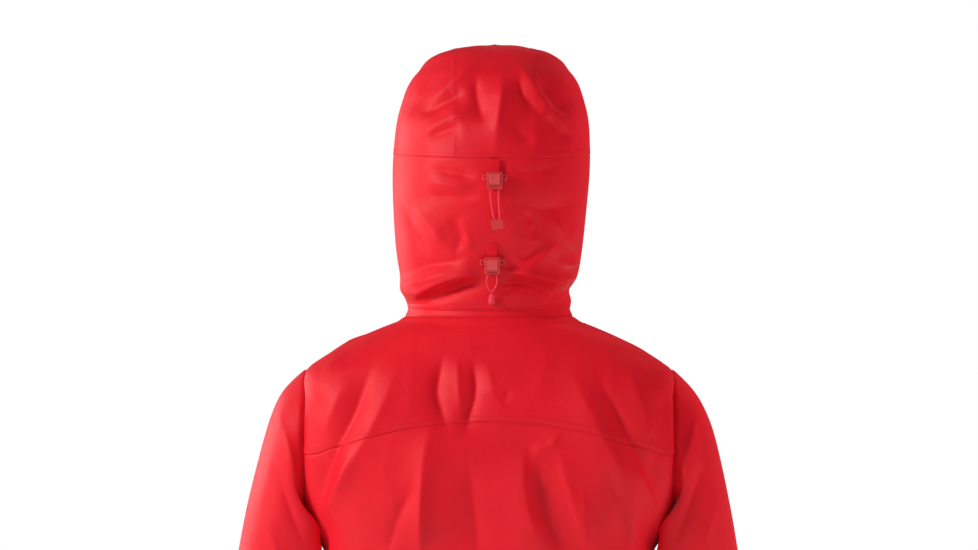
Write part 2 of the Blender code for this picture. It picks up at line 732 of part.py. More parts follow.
def cord_lock(prefix, place, scale=1.0):
    """A cord lock: a frame with an eye on each side, and a button in it.

    Place has Y outwards and its origin at the middle of the lock's back."""
    place = place @ Matrix.Scale(scale, 4)
    width, height, depth = LOCK_WIDTH, LOCK_HEIGHT, LOCK_DEPTH
    plastic = FINISH["plastic"]
    eye_z = 0.0035
    button_z = 0.0014
    button_width, button_height = width - 2 * LOCK_WALL, height * 0.70

    def piece(label, size, x, y, z, bevel=0.0, segments=3):
        where = place @ Matrix.Translation((x, y, z))
        return helper(block(f"{prefix}_{label}", size, where, plastic, bevel, segments))

    size = (width, depth, height)
    housing = block(
        f"{prefix}_lock_housing", size, place @ Matrix.Translation((0, depth / 2, 0)), plastic, 0.0011, 3
    )
    for label, hand in (("left", 1), ("right", -1)):
        ear_x, hole_x = hand * (width / 2 + 0.0020), hand * (width / 2 + 0.0024)
        ear = piece(f"ear_{label}", (0.0062, 0.0030, 0.0072), ear_x, 0.0022, eye_z, 0.0013)
        hole = piece(f"hole_{label}", (0.0026, 0.02, 0.0036), hole_x, 0.0022, eye_z)
        boolean(housing, "UNION", ear)
        boolean(housing, "DIFFERENCE", hole)
    # The well that the button slides in, open at the front, and the slot under it.
    well_size = (button_width, depth, button_height)
    well = piece("well", well_size, 0, WELL_BACK + depth / 2, button_z)
    slot_size = (width * 0.66, depth * 0.5, 0.0016)
    slot = piece("lip_slot", slot_size, 0, depth, 0.0023 - height / 2)
    boolean(housing, "DIFFERENCE", well)
    boolean(housing, "DIFFERENCE", slot)
    inner_y, outer_y = WELL_BACK + BUTTON_TRAVEL + GAP, depth + 0.0012
    block(
        f"{prefix}_lock_button",
        (button_width - 2 * GAP, outer_y - inner_y, button_height - 2 * GAP),
        place @ Matrix.Translation((0, (inner_y + outer_y) / 2, button_z)),
        FINISH["button"],
        0.0006,
    )


def make_hood_adjusters():
    upper = hood_lock_frame(UPPER_LOCK_X, UPPER_LOCK_Z, 0.0)
    lower = hood_lock_frame(LOWER_LOCK_X, LOWER_LOCK_Z, LOWER_LOCK_TILT)
    for name, place in (("upper", upper), ("lower", lower)):
        cord_lock(name, place)
        # A webbing tab carries the lock: it shows between the seam and the lock.
        block(
            f"{name}_webbing_tab",
            (0.0112, 0.0014, 0.0132),
            place @ Matrix.Translation((0, 0.0008, LOCK_HEIGHT / 2 + GAP + 0.0066)),
            FINISH["webbing"],
            0.0003,
            1,
        )
    make_upper_cord(upper)
    make_lower_cord(lower)


def make_upper_cord(lock):
    """A loop out of the lock and through the pull at its foot."""
    foot = -LOCK_HEIGHT / 2 - GAP
    y = 0.0030
    route = (
        (0.0046, y, foot),
        (0.0045, y, foot - 0.006),
        (0.0036, y, foot - 0.016),
        (0.0018, y, foot - 0.026),
        (-0.0004, y, foot - 0.0335),
        (-0.0018, y, foot - 0.0375),
        (-0.0038, y, foot - 0.0390),
        (-0.0058, y, foot - 0.0370),
        (-0.0058, y, foot - 0.0330),
        (-0.0054, y, foot - 0.026),
        (-0.0046, y, foot - 0.016),
        (-0.0044, y, foot - 0.006),
        (-0.0044, y, foot),
    )
    line = [lock @ Vector(point) for point in route]
    cord("upper_cord", line, FINISH["cord"])
    turn = Matrix.Rotation(math.radians(10), 4, "Y")
    place = lock @ Matrix.Translation((-0.0036, y, foot - 0.0380)) @ turn
    pull = block("upper_cord_pull", (0.0136, 0.0058, 0.0112), place, FINISH["plastic"], 0.0012, 2)
    where = place @ Matrix.Translation((0, 0, 0.0050))
    mouth = helper(block("pull_mouth", (0.0106, 0.0028, 0.0160), where, FINISH["cord"]))
    boolean(pull, "DIFFERENCE", mouth)


def make_lower_cord(lock):
    """A short bowed loop out of the lock, and the knotted end that it is pulled by."""
    foot = -LOCK_HEIGHT / 2 - GAP
    y = 0.0030
    route = (
        (0.0040, y, foot),
        (0.0056, y, foot - 0.004),
        (0.0062, y, foot - 0.009),
        (0.0048, y, foot - 0.0145),
        (0.0026, y, foot - 0.0180),
        (0.0008, y, foot - 0.0192),
        (-0.0010, y, foot - 0.0180),
        (-0.0036, y, foot - 0.0145),
        (-0.0052, y, foot - 0.009),
        (-0.0050, y, foot - 0.004),
        (-0.0040, y, foot),
    )
    cord("lower_cord", [lock @ Vector(point) for point in route], FINISH["cord"])
    knot = bmesh.new()
    bmesh.ops.create_uvsphere(knot, u_segments=14, v_segments=9, radius=1.0)
    for vert in knot.verts:
        slim = 1 - 0.45 * vert.co.z
        vert.co = (0.0036 * slim * vert.co.x, 0.0024 * slim * vert.co.y, 0.0068 * vert.co.z)
    knot.transform(lock @ Matrix.Translation((0.0006, y, foot - 0.0276)))
    link("lower_cord_knot", knot, FINISH["cord"])


def make_hem_adjusters():
    place = hem_lock_frame()
    flip = Matrix.Diagonal((-1, 1, 1, 1))
    foot = -HEM_LOCK_SCALE * LOCK_HEIGHT / 2 - GAP
    y = 0.0027
    route = (
        (0.0040, y, foot),
        (0.0042, y, foot - 0.006),
        (0.0046, y, foot - 0.014),
        (0.0034, y, foot - 0.0225),
        (0.0000, y, foot - 0.0260),
        (-0.0034, y, foot - 0.0225),
        (-0.0046, y, foot - 0.014),
        (-0.0042, y, foot - 0.006),
        (-0.0040, y, foot),
    )
    for side in ("left", "right"):
        lock = flip @ place if side == "right" else place
        cord_lock(f"hem_{side}", lock, HEM_LOCK_SCALE)
        cord(f"hem_cord_{side}", [lock @ Vector(point) for point in route], FINISH["cord"])


FINISH = {}


def make_finishes():
    FINISH["shell"] = material("shell_fabric", RED, 0.55)
    FINISH["lining"] = material("lining_fabric", (0.42, 0.012, 0.022), 0.8)
    FINISH["webbing"] = material("webbing", (0.85, 0.006, 0.018), 0.6)
    FINISH["plastic"] = material("lock_plastic", (0.74, 0.07, 0.075), 0.30)
    FINISH["button"] = material("lock_button", (0.66, 0.10, 0.10), 0.35)
    FINISH["cord"] = material("elastic_cord", (0.86, 0.06, 0.07), 0.55)
    FINISH["zip"] = material("zip_tape", (0.40, 0.008, 0.015), 0.35)
    FINISH["metal"] = material("zip_metal", (0.30, 0.012, 0.018), 0.35, 0.3)
    FINISH["trim"] = material("trim", (0.55, 0.012, 0.025), 0.6)


def main():
    clear_scene()
    make_finishes()
    make_body()
    make_hem()
    make_collar()
    make_sleeves()
    make_hood()
    make_hanger()
    make_main_zip()
    make_pockets()
    make_hood_adjusters()
    make_hem_adjusters()


main()
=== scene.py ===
"""The looks of a red hooded hardshell jacket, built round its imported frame.

Metres, +Z up; the wearer faces -Y and +X is the wearer's left. The camera stands behind
the wearer. The cloth follows the same curves as the frame's panels, with folds on them.
"""

import itertools
import math

import bmesh
import bpy
import numpy as np
from mathutils import Matrix, Vector


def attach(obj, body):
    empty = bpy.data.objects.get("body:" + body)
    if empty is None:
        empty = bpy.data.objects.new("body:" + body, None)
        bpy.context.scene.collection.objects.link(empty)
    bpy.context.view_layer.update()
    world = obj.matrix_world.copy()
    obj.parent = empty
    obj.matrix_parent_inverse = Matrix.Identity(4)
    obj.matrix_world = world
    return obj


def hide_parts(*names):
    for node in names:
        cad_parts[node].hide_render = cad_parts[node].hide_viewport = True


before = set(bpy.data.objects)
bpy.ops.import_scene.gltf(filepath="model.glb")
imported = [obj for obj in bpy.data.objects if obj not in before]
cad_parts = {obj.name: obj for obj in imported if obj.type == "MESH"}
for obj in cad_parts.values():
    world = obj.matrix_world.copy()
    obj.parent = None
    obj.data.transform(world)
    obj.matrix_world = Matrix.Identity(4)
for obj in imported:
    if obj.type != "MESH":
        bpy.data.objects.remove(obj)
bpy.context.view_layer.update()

# ---- the frame's own curves ---------------------------------------------------------
Y_SHIFT = 0.01715
BODY_Y = 0.012 + Y_SHIFT
NECK_LEVEL = 0.7375
HEM_HEIGHT = 0.026
FRONT_FOOT_Y = -0.145 + Y_SHIFT
FRONT_LEAN = 0.06
FRONT_EDGE_X = 0.0152
# Level, half width, y of the back, how far the front drops below the level, squareness.
BODY_LEVELS = np.array(
    (
        (0.000, 0.2060, 0.131, 0.0000, 2.5),
        (0.100, 0.1990, 0.129, 0.0000, 2.5),
        (0.250, 0.1880, 0.127, 0.0000, 2.6),
        (0.400, 0.1835, 0.133, 0.0000, 2.7),
        (0.500, 0.1860, 0.141, 0.0020, 3.1),
        (0.550, 0.1955, 0.1435, 0.0140, 3.9),
        (0.600, 0.2030, 0.143, 0.0320, 4.5),
        (0.640, 0.2042, 0.139, 0.0480, 4.3),
        (0.682, 0.2020, 0.128, 0.0650, 3.4),
        (0.700, 0.1765, 0.1205, 0.0695, 2.8),
        (0.716, 0.1460, 0.113, 0.0715, 2.5),
        (0.7275, 0.1190, 0.1065, 0.0715, 2.3),
        (NECK_LEVEL, 0.0925, 0.098, 0.0700, 2.1),
    )
)
YOKE_TOP_Z = 0.6265
YOKE_FALL = 0.92
ARMHOLE_R = 0.085
ARMHOLE_Z = 0.595
ARMHOLE_X = 0.2025
ARMHOLE_REACH = 0.020
ARM_SIDE_X = 0.14  # past it a point belongs to the side of an arm
# Inner x and z, outer x and z, y of the middle, half the depth.
SLEEVE_SECTIONS = np.array(
    (
        (0.1975, 0.5116, 0.1975, 0.6784, 0.012, 0.0834),
        (0.2040, 0.5107, 0.2040, 0.6793, 0.012, 0.0843),
        (0.2065, 0.5065, 0.2110, 0.6765, 0.012, 0.0880),
        (0.2035, 0.4960, 0.2325, 0.6530, 0.012, 0.0900),
        (0.1985, 0.4840, 0.2490, 0.6180, 0.010, 0.0880),
        (0.1930, 0.4680, 0.2620, 0.5710, 0.008, 0.0845),
        (0.1905, 0.4450, 0.2735, 0.5185, 0.006, 0.0795),
        (0.1905, 0.4150, 0.2840, 0.4600, 0.004, 0.0745),
        (0.1930, 0.3850, 0.2930, 0.4000, 0.001, 0.0700),
        (0.1990, 0.3300, 0.3005, 0.3350, -0.004, 0.0655),
        (0.2045, 0.2600, 0.3050, 0.2620, -0.014, 0.0600),
        (0.2125, 0.1800, 0.3055, 0.1820, -0.028, 0.0545),
        (0.2200, 0.1000, 0.3030, 0.1020, -0.042, 0.0490),
        (0.2230, 0.0560, 0.3015, 0.0580, -0.050, 0.0470),
    )
)
ELBOW = 9.0
CUFF_TOP = 12.35
COLLAR_BACK_Z = 0.752
COLLAR_FRONT_Z = 0.768
COLLAR_HALF_WIDTH = 0.0905
COLLAR_BACK_Y = 0.100 + Y_SHIFT
# Share of the way up, y and z of the back, x, y and z of the side and of the face's edge,
# squareness.
HOOD_ROWS = np.array(
    (
        (0.00, 0.0990, 0.7520, 0.0905, 0.005, 0.7560, 0.050, -0.084, 0.7665, 2.2),
        (0.15, 0.1080, 0.7900, 0.1010, 0.005, 0.7920, 0.067, -0.090, 0.8000, 2.3),
        (0.35, 0.1240, 0.8500, 0.1075, 0.005, 0.8520, 0.081, -0.098, 0.8520, 2.4),
        (0.55, 0.1275, 0.9125, 0.1095, 0.000, 0.9215, 0.086, -0.110, 0.9040, 2.4),
        (0.72, 0.1130, 0.9735, 0.1035, -0.005, 0.9760, 0.082, -0.122, 0.9460, 2.3),
        (0.85, 0.0820, 1.0185, 0.0870, -0.015, 1.0140, 0.066, -0.132, 0.9770, 2.2),
        (0.94, 0.0450, 1.0410, 0.0590, -0.030, 1.0375, 0.040, -0.139, 0.9950, 2.1),
        (1.00, 0.0000, 1.0495, 0.0000, -0.045, 1.0480, 0.000, -0.142, 1.0020, 2.0),
    )
)
HOOD_SIDE = 0.55
HOOD_SEAM = 0.55
HOOD_LEAN = 0.0062
CROWN_HALF_WIDTH = 0.048
BRIM_DEPTH = 0.034
BRIM_DROP = 0.012
BRIM_ROWS = 0.20
CLOTH = 0.0012  # what a panel of the cloth shows at its edges
SIDES = ("left", "right")
CAMERA_Y = 3.25
CAMERA_Z = 0.786
CAMERA_AWAY = 3.2  # to the plane on which the picture shows its width
PICTURE_WIDTH = 1.095


def through(t, knots, values):
    """Values at t of a smooth curve through the values at the knots."""
    t = np.asarray(t, float)
    slopes = np.gradient(values, knots)
    i = np.clip(np.searchsorted(knots, t) - 1, 0, len(knots) - 2)
    span = knots[i + 1] - knots[i]
    s = (t - knots[i]) / span
    return (
        values[i] * (1 + 2 * s) * (1 - s) ** 2
        + slopes[i] * span * s * (1 - s) ** 2
        + values[i + 1] * s * s * (3 - 2 * s)
        + slopes[i + 1] * span * s * s * (s - 1)
    )


def smooth(x, low, high):
    """0 below low, 1 above high and a smooth step between."""
    t = np.clip((x - low) / (high - low), 0, 1)
    return t * t * (3 - 2 * t)


def hump(x, middle, width, height):
    """A rounded ridge across x, or a groove if height is negative."""
    return height * np.exp(-(((x - middle) / width) ** 2))


def front_line_y(z):
    """Y of the front's middle line at a level."""
    return FRONT_FOOT_Y + FRONT_LEAN * z


def oval(angle, half_width, front, back, squareness):
    """The radius of an oval, round at a squareness of 2 and boxier above it."""
    c, s = np.abs(np.cos(angle)), np.abs(np.sin(angle))
    depth = np.where(np.sin(angle) > 0, back, front)
    return ((c / half_width) ** squareness + (s / depth) ** squareness) ** (-1 / squareness)


def ring(angle, half_width, front_y, back_y, squareness, z):
    """Points round the body on an oval with its own front and back."""
    r = oval(angle, half_width, BODY_Y - front_y, back_y - BODY_Y, squareness)
    return np.stack((r * np.cos(angle), BODY_Y + r * np.sin(angle), z), -1)


def body(angle, level):
    """Points of the body's outer surface. Angle 0 is the left side, 90 degrees the back."""
    knots = BODY_LEVELS[:, 0]
    half_width, back, drop, squareness = (through(level, knots, BODY_LEVELS[:, i]) for i in (1, 2, 3, 4))
    fall = drop * np.maximum(0, -np.sin(angle)) ** 2
    p = ring(angle, half_width, front_line_y(level - drop), back + Y_SHIFT, squareness, level - fall)
    # Round an armhole the cloth is drawn out sideways to the plane of its edge.
    up = p[..., 2] - ARMHOLE_Z
    away = np.hypot(p[..., 1] - BODY_Y, up)
    below = np.maximum(0, -up / np.maximum(away, 1e-6))
    share = 1 - smooth(away, ARMHOLE_R + 0.001, ARMHOLE_R + ARMHOLE_REACH * (1 + below))
    share = share * (1 - smooth(p[..., 2], 0.640, 0.675))
    p[..., 0] += share * (np.copysign(ARMHOLE_X, p[..., 0]) - p[..., 0])
    return p


def collar(angle, share):
    """Points of the collar, from its foot on the body (0) to its top edge (1)."""
    low = body(angle, np.full_like(angle, NECK_LEVEL))
    ahead = np.maximum(0, -np.sin(angle)) ** 2
    top_z = COLLAR_BACK_Z + 0.003 * np.cos(angle) ** 2 + (COLLAR_FRONT_Z - COLLAR_BACK_Z) * ahead
    high = ring(angle, COLLAR_HALF_WIDTH, front_line_y(COLLAR_FRONT_Z), COLLAR_BACK_Y, 2.2, top_z)
    return low + (high - low) * share[..., None]


def neck_fillet(p, distance, reach):
    """The body and the collar meet in a small curve, not in a corner."""
    radial = np.stack((p[..., 0], p[..., 1] - BODY_Y, np.zeros(distance.shape)), -1)
    radial /= np.linalg.norm(radial, axis=-1, keepdims=True)
    ahead = smooth(p[..., 1], BODY_Y - 0.075, BODY_Y - 0.045)
    share = (ahead * (1 - smooth(distance, 0, reach)))[..., None]
    return p + share * (radial * 0.0016 + np.array((0, 0, 0.0020)))


def edge_angle(surface, height):
    """The angle at which a surface reaches the left edge of the zip."""
    angle = np.full_like(height, -math.pi / 2)
    for _ in range(5):
        p = surface(angle, height)
        r = np.hypot(p[..., 0], p[..., 1] - BODY_Y)
        angle = -math.pi / 2 + np.arcsin(FRONT_EDGE_X / r)
    return angle


def hood(across, row):
    """Points of the hood, from the left face edge (0) round the back to the right (1)."""
    knots = HOOD_ROWS[:, 0]
    back_y, back_z, side_x, side_y, side_z, face_x, face_y, face_z, squareness = (
        through(row, knots, HOOD_ROWS[:, i]) for i in range(1, 10)
    )
    side_x = np.maximum(side_x, 1e-6)
    hand = np.where(across < 0.5, 1, -1)
    away = np.abs(2 * across - 1)
    turn = np.minimum(away / HOOD_SIDE, 1) * math.pi / 2
    r = oval(math.pi / 2 - turn, side_x, 1.0, back_y - side_y, squareness)
    ahead = np.clip((away - HOOD_SIDE) / (1 - HOOD_SIDE), 0, 1)
    behind = away < HOOD_SIDE
    x = np.where(behind, r * np.sin(turn), side_x + (face_x - side_x) * ahead**2)
    y = np.where(behind, side_y + r * np.cos(turn), side_y + (face_y - side_y) * ahead)
    z = np.where(
        behind, back_z + (side_z - back_z) * np.sin(turn) ** 2, side_z + (face_z - side_z) * ahead**2
    )
    return np.stack((hand * x, y + Y_SHIFT, z), -1)


def lean(p):
    """The hood's cloth leans a little to the right, and more so higher up."""
    p[..., 0] -= HOOD_LEAN * smooth(p[..., 2], 0.80, 1.04)
    return p


def sleeve(turn, section, grow=0.0):
    """Points of the left sleeve. Its inner back bulges towards the body's side."""
    numbers = np.arange(len(SLEEVE_SECTIONS), dtype=float)
    in_x, in_z, out_x, out_z, y, depth = (through(section, numbers, SLEEVE_SECTIONS[:, i]) for i in range(6))
    middle = np.stack(((in_x + out_x) / 2, y + Y_SHIFT, (in_z + out_z) / 2), -1)
    half = np.stack(((out_x - in_x) / 2, np.zeros_like(y), (out_z - in_z) / 2), -1)
    length = np.linalg.norm(half, axis=-1, keepdims=True)
    c, s = np.cos(turn), np.sin(turn)
    point = middle + half / length * (length + grow) * c[..., None]
    point[..., 1] += (depth + grow) * s
    bulge = smooth(section, 2.6, 4.2) * (1 - smooth(section, 7.0, 10.0))
    point[..., 0] -= 0.0205 * bulge * np.exp(-(((turn_of(turn) - 2.25) / 0.5) ** 2))
    return point


def turn_of(turn):
    """The same turn between 0 and a full circle."""
    return np.mod(turn, 2 * math.pi)


# ---- noise and folds ----------------------------------------------------------------
LATTICE = np.random.default_rng(11).uniform(-1, 1, (32, 32, 32))


def noise(p, size):
    """Smooth noise from -1 to 1, with features of a size that may differ by axis."""
    q = p / np.asarray(size, float) + 100.5
    cell = np.floor(q).astype(int)
    f = q - cell
    f = f * f * f * (f * (f * 6 - 15) + 10)
    total = 0.0
    for corner in itertools.product((0, 1), repeat=3):
        at = (cell + corner) & 31
        weight = np.prod(np.where(corner, f, 1 - f), -1)
        total = total + weight * LATTICE[at[..., 0], at[..., 1], at[..., 2]]
    return total


FOLD_FADE = 0.35  # the share of a fold's length over which it fades out at each end
FOLD_RADIUS = 0.0012  # of the rounded top of a fold
ROUTE_STEPS = 5


def rounded_route(route):
    """More points on a smooth curve through a route's own points."""
    knots = np.arange(len(route), dtype=float)
    t = np.linspace(0, len(route) - 1, (len(route) - 1) * ROUTE_STEPS + 1)
    return np.stack([through(t, knots, route[:, k]) for k in range(2)], -1)


def crease(x, z, route, high, left, right):
    """The height of a fold along a route in X and Z, in metres: a ridge, or a valley if
    high is negative. left is the width of its flank towards +X, where the route runs
    down, and right the other one's."""
    line = rounded_route(route)
    best = np.full(x.shape, 9.0)
    side = np.ones(x.shape)
    along = np.zeros(x.shape)
    lengths = np.hypot(*np.diff(line, axis=0).T)
    done, total = 0.0, lengths.sum()
    for (ax, az), (bx, bz), length in zip(line[:-1], line[1:], lengths):
        dx, dz = (bx - ax) / length, (bz - az) / length
        t = np.clip((x - ax) * dx + (z - az) * dz, 0, length)
        ox, oz = x - ax - t * dx, z - az - t * dz
        d = np.hypot(ox, oz)
        near = d < best
        best = np.where(near, d, best)
        side = np.where(near, dx * oz - dz * ox, side)
        along = np.where(near, (done + t) / total, along)
        done += length
    width = np.where(side > 0, left, right)
    share = np.exp(-(np.sqrt(best**2 + FOLD_RADIUS**2) - FOLD_RADIUS) / width)
    share = share * (1 - smooth(best, 2.2 * width, 4 * width))
    share = share * smooth(along, -0.02, FOLD_FADE) * (1 - smooth(along, 1 - FOLD_FADE, 1.02))
    return high * share


def seen(p):
    """X and height above the neck seam at which the camera sees points, on its own plane."""
    scale = CAMERA_AWAY / (CAMERA_Y - p[..., 1])
    return p[..., 0] * scale, CAMERA_Z + (p[..., 2] - CAMERA_Z) * scale - NECK_LEVEL


def fold_field(x, z, folds):
    """The sum of folds given in millimetres: route, height, left flank, right flank."""
    total = np.zeros(x.shape)
    for route, high, left, right in folds:
        spread = 4.2 * max(left, right) / 1000
        r = np.array(route) / 1000.0
        lo, hi = r.min(0) - spread, r.max(0) + spread
        inside = (x > lo[0]) & (x < hi[0]) & (z > lo[1]) & (z < hi[1])
        if inside.any():
            total[inside] += crease(x[inside], z[inside], r, high / 1000, left / 1000, right / 1000)
    return total


# ---- meshes -------------------------------------------------------------------------
def normals_of(p, closed=False):
    """Normals of a grid of points. A closed one's first and last columns are neighbours."""
    around = np.roll(p, -1, 0) - np.roll(p, 1, 0) if closed else np.gradient(p, axis=0)
    n = np.cross(around, np.gradient(p, axis=1))
    return n / np.maximum(np.linalg.norm(n, axis=-1, keepdims=True), 1e-12)


def arc(p, axis):
    """Distances over a grid of points along one of its axes."""
    step = np.linalg.norm(np.diff(p, axis=axis), axis=-1)
    pad = [(0, 0), (0, 0)]
    pad[axis] = (1, 0)
    return np.pad(np.cumsum(step, axis), pad)


def cloth_piece(name, p, outer, inner, *, closed=False, keep=None, thick=CLOTH, mirror=False):
    """A panel on a grid of points, with its thickness inside. keep says which points stay."""
    if mirror:
        p = p[::-1] * (-1, 1, 1)
        keep = keep[::-1] if keep is not None else None
    nu, nv = p.shape[:2]
    count = nu if closed else nu - 1
    i = np.arange(count)[:, None]
    j = np.arange(nv - 1)[None, :]
    nxt = (i + 1) % nu
    quads = np.stack(
        np.broadcast_arrays(i * nv + j, nxt * nv + j, nxt * nv + j + 1, i * nv + j + 1), -1
    ).reshape(-1, 4)
    if keep is not None:
        quads = quads[keep.reshape(-1)[quads].all(1)]
    used = np.zeros(nu * nv, bool)
    used[quads] = True
    number = np.cumsum(used) - 1
    quads = number[quads]
    points = p.reshape(-1, 3)[used]
    mesh = bpy.data.meshes.new(name)
    mesh.vertices.add(len(points))
    mesh.vertices.foreach_set("co", points.ravel())
    mesh.loops.add(quads.size)
    mesh.loops.foreach_set("vertex_index", quads.ravel())
    mesh.polygons.add(len(quads))
    mesh.polygons.foreach_set("loop_start", np.arange(0, quads.size, 4))
    mesh.polygons.foreach_set("loop_total", np.full(len(quads), 4))
    mesh.update(calc_edges=True)
    uv = np.stack((arc(p, 0), arc(p, 1)), -1).reshape(-1, 2)[used]
    layer = mesh.uv_layers.new(name="cloth")
    layer.data.foreach_set("uv", uv[quads.ravel()].ravel())
    mesh.shade_smooth()
    obj = bpy.data.objects.new(name, mesh)
    bpy.context.scene.collection.objects.link(obj)
    mesh.materials.append(outer)
    mesh.materials.append(inner)
    made = obj.modifiers.new("Thickness", "SOLIDIFY")
    made.thickness = thick
    made.offset = -1
    made.material_offset = 1
    made.material_offset_rim = 0
    return obj


def sewn_piece(name, replaced, p, finishes, body_name, slot, **how):
    """A panel that rides a body and stands for some of the frame's soft solids."""
    piece = cloth_piece(name, p, *finishes, **how)
    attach(piece, body_name)
    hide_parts(*replaced)


def unit_grid(columns, rows):
    """Shares from 0 to 1 across a panel and along it, one for each point of its grid."""
    return np.meshgrid(np.linspace(0, 1, columns), np.linspace(0, 1, rows), indexing="ij")


def sample(p, i, j):
    """Points of a grid at fractional places in it."""
    i0 = np.clip(np.floor(i).astype(int), 0, p.shape[0] - 2)
    j0 = np.clip(np.floor(j).astype(int), 0, p.shape[1] - 2)
    fi, fj = (i - i0)[..., None], (j - j0)[..., None]
    return (
        p[i0, j0] * (1 - fi) * (1 - fj)
        + p[i0 + 1, j0] * fi * (1 - fj)
        + p[i0, j0 + 1] * (1 - fi) * fj
        + p[i0 + 1, j0 + 1] * fi * fj
    )


def grid_line(p, n, i, j):
    """The points and normals of a grid along a line of places in it."""
    i, j = np.broadcast_arrays(np.asarray(i, float), np.asarray(j, float))
    return sample(p, i, j), sample(n, i, j)


def line_beside(p, n, from_seam, columns, distance):
    """A line on a grid at a distance from a seam, at each of some columns."""
    rows = np.arange(p.shape[1], dtype=float)
    return grid_line(p, n, columns, [np.interp(distance, from_seam[int(k)], rows) for k in columns])


def run_along(points):
    """How far along a line each of its points lies."""
    steps = np.linalg.norm(np.diff(points, axis=0), axis=1)
    return np.concatenate(((0,), np.cumsum(steps)))


STITCH_GAP = 0.0012
THREAD_RADIUS = 0.0002


def stitch_mesh(name, lines, body_name, length=0.0026):
    """Thread along seams. Each line is (points, normals) on the cloth's surface."""
    verts, faces = [], []
    for points, normals in lines:
        s = run_along(points)
        count = int(s[-1] / (length + STITCH_GAP))
        start = (np.arange(count) + 0.15) * s[-1] / count
        at = [
            np.stack([np.interp(start + f * length, s, points[:, k]) for k in range(3)], -1)
            for f in (0, 0.25, 0.75, 1)
        ]
        up = np.stack([np.interp(start + 0.5 * length, s, normals[:, k]) for k in range(3)], -1)
        ahead = at[3] - at[0]
        ahead /= np.linalg.norm(ahead, axis=1, keepdims=True)
        across = np.cross(ahead, up)
        across /= np.linalg.norm(across, axis=1, keepdims=True)
        base = sum(len(v) for v in verts)
        rows = [at[0] - 0.3 * THREAD_RADIUS * up]
        for f in (1, 2):
            mid = at[f] + 0.5 * THREAD_RADIUS * up
            for a, b in ((1.3, 0), (0, 1), (-1.3, 0), (0, -1)):
                rows.append(mid + THREAD_RADIUS * (a * across + b * up))
        rows.append(at[3] - 0.3 * THREAD_RADIUS * up)
        verts.append(np.stack(rows, 1).reshape(-1, 3))
        for k in range(count):
            o = base + k * 10
            for q in range(4):
                n = (q + 1) % 4
                faces.append((o, o + 1 + n, o + 1 + q))
                faces.append((o + 1 + q, o + 1 + n, o + 5 + n, o + 5 + q))
                faces.append((o + 9, o + 5 + q, o + 5 + n))
    mesh = bpy.data.meshes.new(name)
    mesh.from_pydata(np.concatenate(verts).tolist(), [], faces)
    mesh.materials.append(THREAD)
    obj = bpy.data.objects.new(name, mesh)
    bpy.context.scene.collection.objects.link(obj)
    bm = bmesh.new()
    bm.from_mesh(mesh)
    bmesh.ops.recalc_face_normals(bm, faces=bm.faces)
    bm.to_mesh(mesh)
    bm.free()
    mesh.shade_smooth()
    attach(obj, body_name)


# ---- materials ----------------------------------------------------------------------
class Nodes:
    """A material and short ways to add and join its nodes."""

    def __init__(self, name):
        self.material = bpy.data.materials.new(name)
        self.material.use_nodes = True
        self.tree = self.material.node_tree
        self.shader = self.tree.nodes["Principled BSDF"]

    def add(self, kind, **settings):
        node = self.tree.nodes.new(kind)
        for key, value in settings.items():
            if hasattr(node, key):
                setattr(node, key, value)
            else:
                node.inputs[key].default_value = value
        return node

    def join(self, out, into):
        self.tree.links.new(out, into)

    def math(self, operation, a, b=None):
        node = self.add("ShaderNodeMath", operation=operation)
        for k, value in enumerate((a, b)):
            if value is None:
                continue
            if isinstance(value, (int, float)):
                node.inputs[k].default_value = value
            else:
                self.join(value, node.inputs[k])
        return node.outputs[0]

    def noise(self, vector, scale, detail=2.0, rough=0.5):
        node = self.add("ShaderNodeTexNoise")
        node.inputs["Scale"].default_value = scale
        node.inputs["Detail"].default_value = detail
        node.inputs["Roughness"].default_value = rough
        self.join(vector, node.inputs["Vector"])
        return node.outputs["Fac"]

    def ramp(self, factor, stops):
        node = self.add("ShaderNodeValToRGB")
        ramp = node.color_ramp
        ramp.elements[0].position, ramp.elements[0].color = stops[0][0], (*stops[0][1], 1)
        ramp.elements[1].position, ramp.elements[1].color = stops[-1][0], (*stops[-1][1], 1)
        for place, colour in stops[1:-1]:
            ramp.elements.new(place).color = (*colour, 1)
        self.join(factor, node.inputs["Fac"])
        return node.outputs["Color"]

    def roughness(self, factor, low, high):
        rough = self.add("ShaderNodeMapRange")
        rough.inputs["To Min"].default_value = low
        rough.inputs["To Max"].default_value = high
        self.join(factor, rough.inputs["Value"])
        self.join(rough.outputs[0], self.shader.inputs["Roughness"])

    def bump(self, heights):
        """Bumps one on another: (height, strength, distance)."""
        last = None
        for height, strength, distance in heights:
            node = self.add("ShaderNodeBump")
            node.inputs["Strength"].default_value = strength
            node.inputs["Distance"].default_value = distance
            self.join(height, node.inputs["Height"])
            if last:
                self.join(last, node.inputs["Normal"])
            last = node.outputs["Normal"]
        self.join(last, self.shader.inputs["Normal"])

    def weave(self, pitch):
        """A plain weave's height, from the cloth's own coordinates in metres."""
        uv = self.add("ShaderNodeUVMap", uv_map="cloth").outputs["UV"]
        split = self.add("ShaderNodeSeparateXYZ")
        self.join(uv, split.inputs[0])
        rate = 2 * math.pi / pitch
        waves = [self.math("SINE", self.math("MULTIPLY", split.outputs[k], rate)) for k in (0, 1)]
        return self.math("MULTIPLY", *waves)


def shade(colour, factor):
    return tuple(min(1, c * factor) for c in colour)


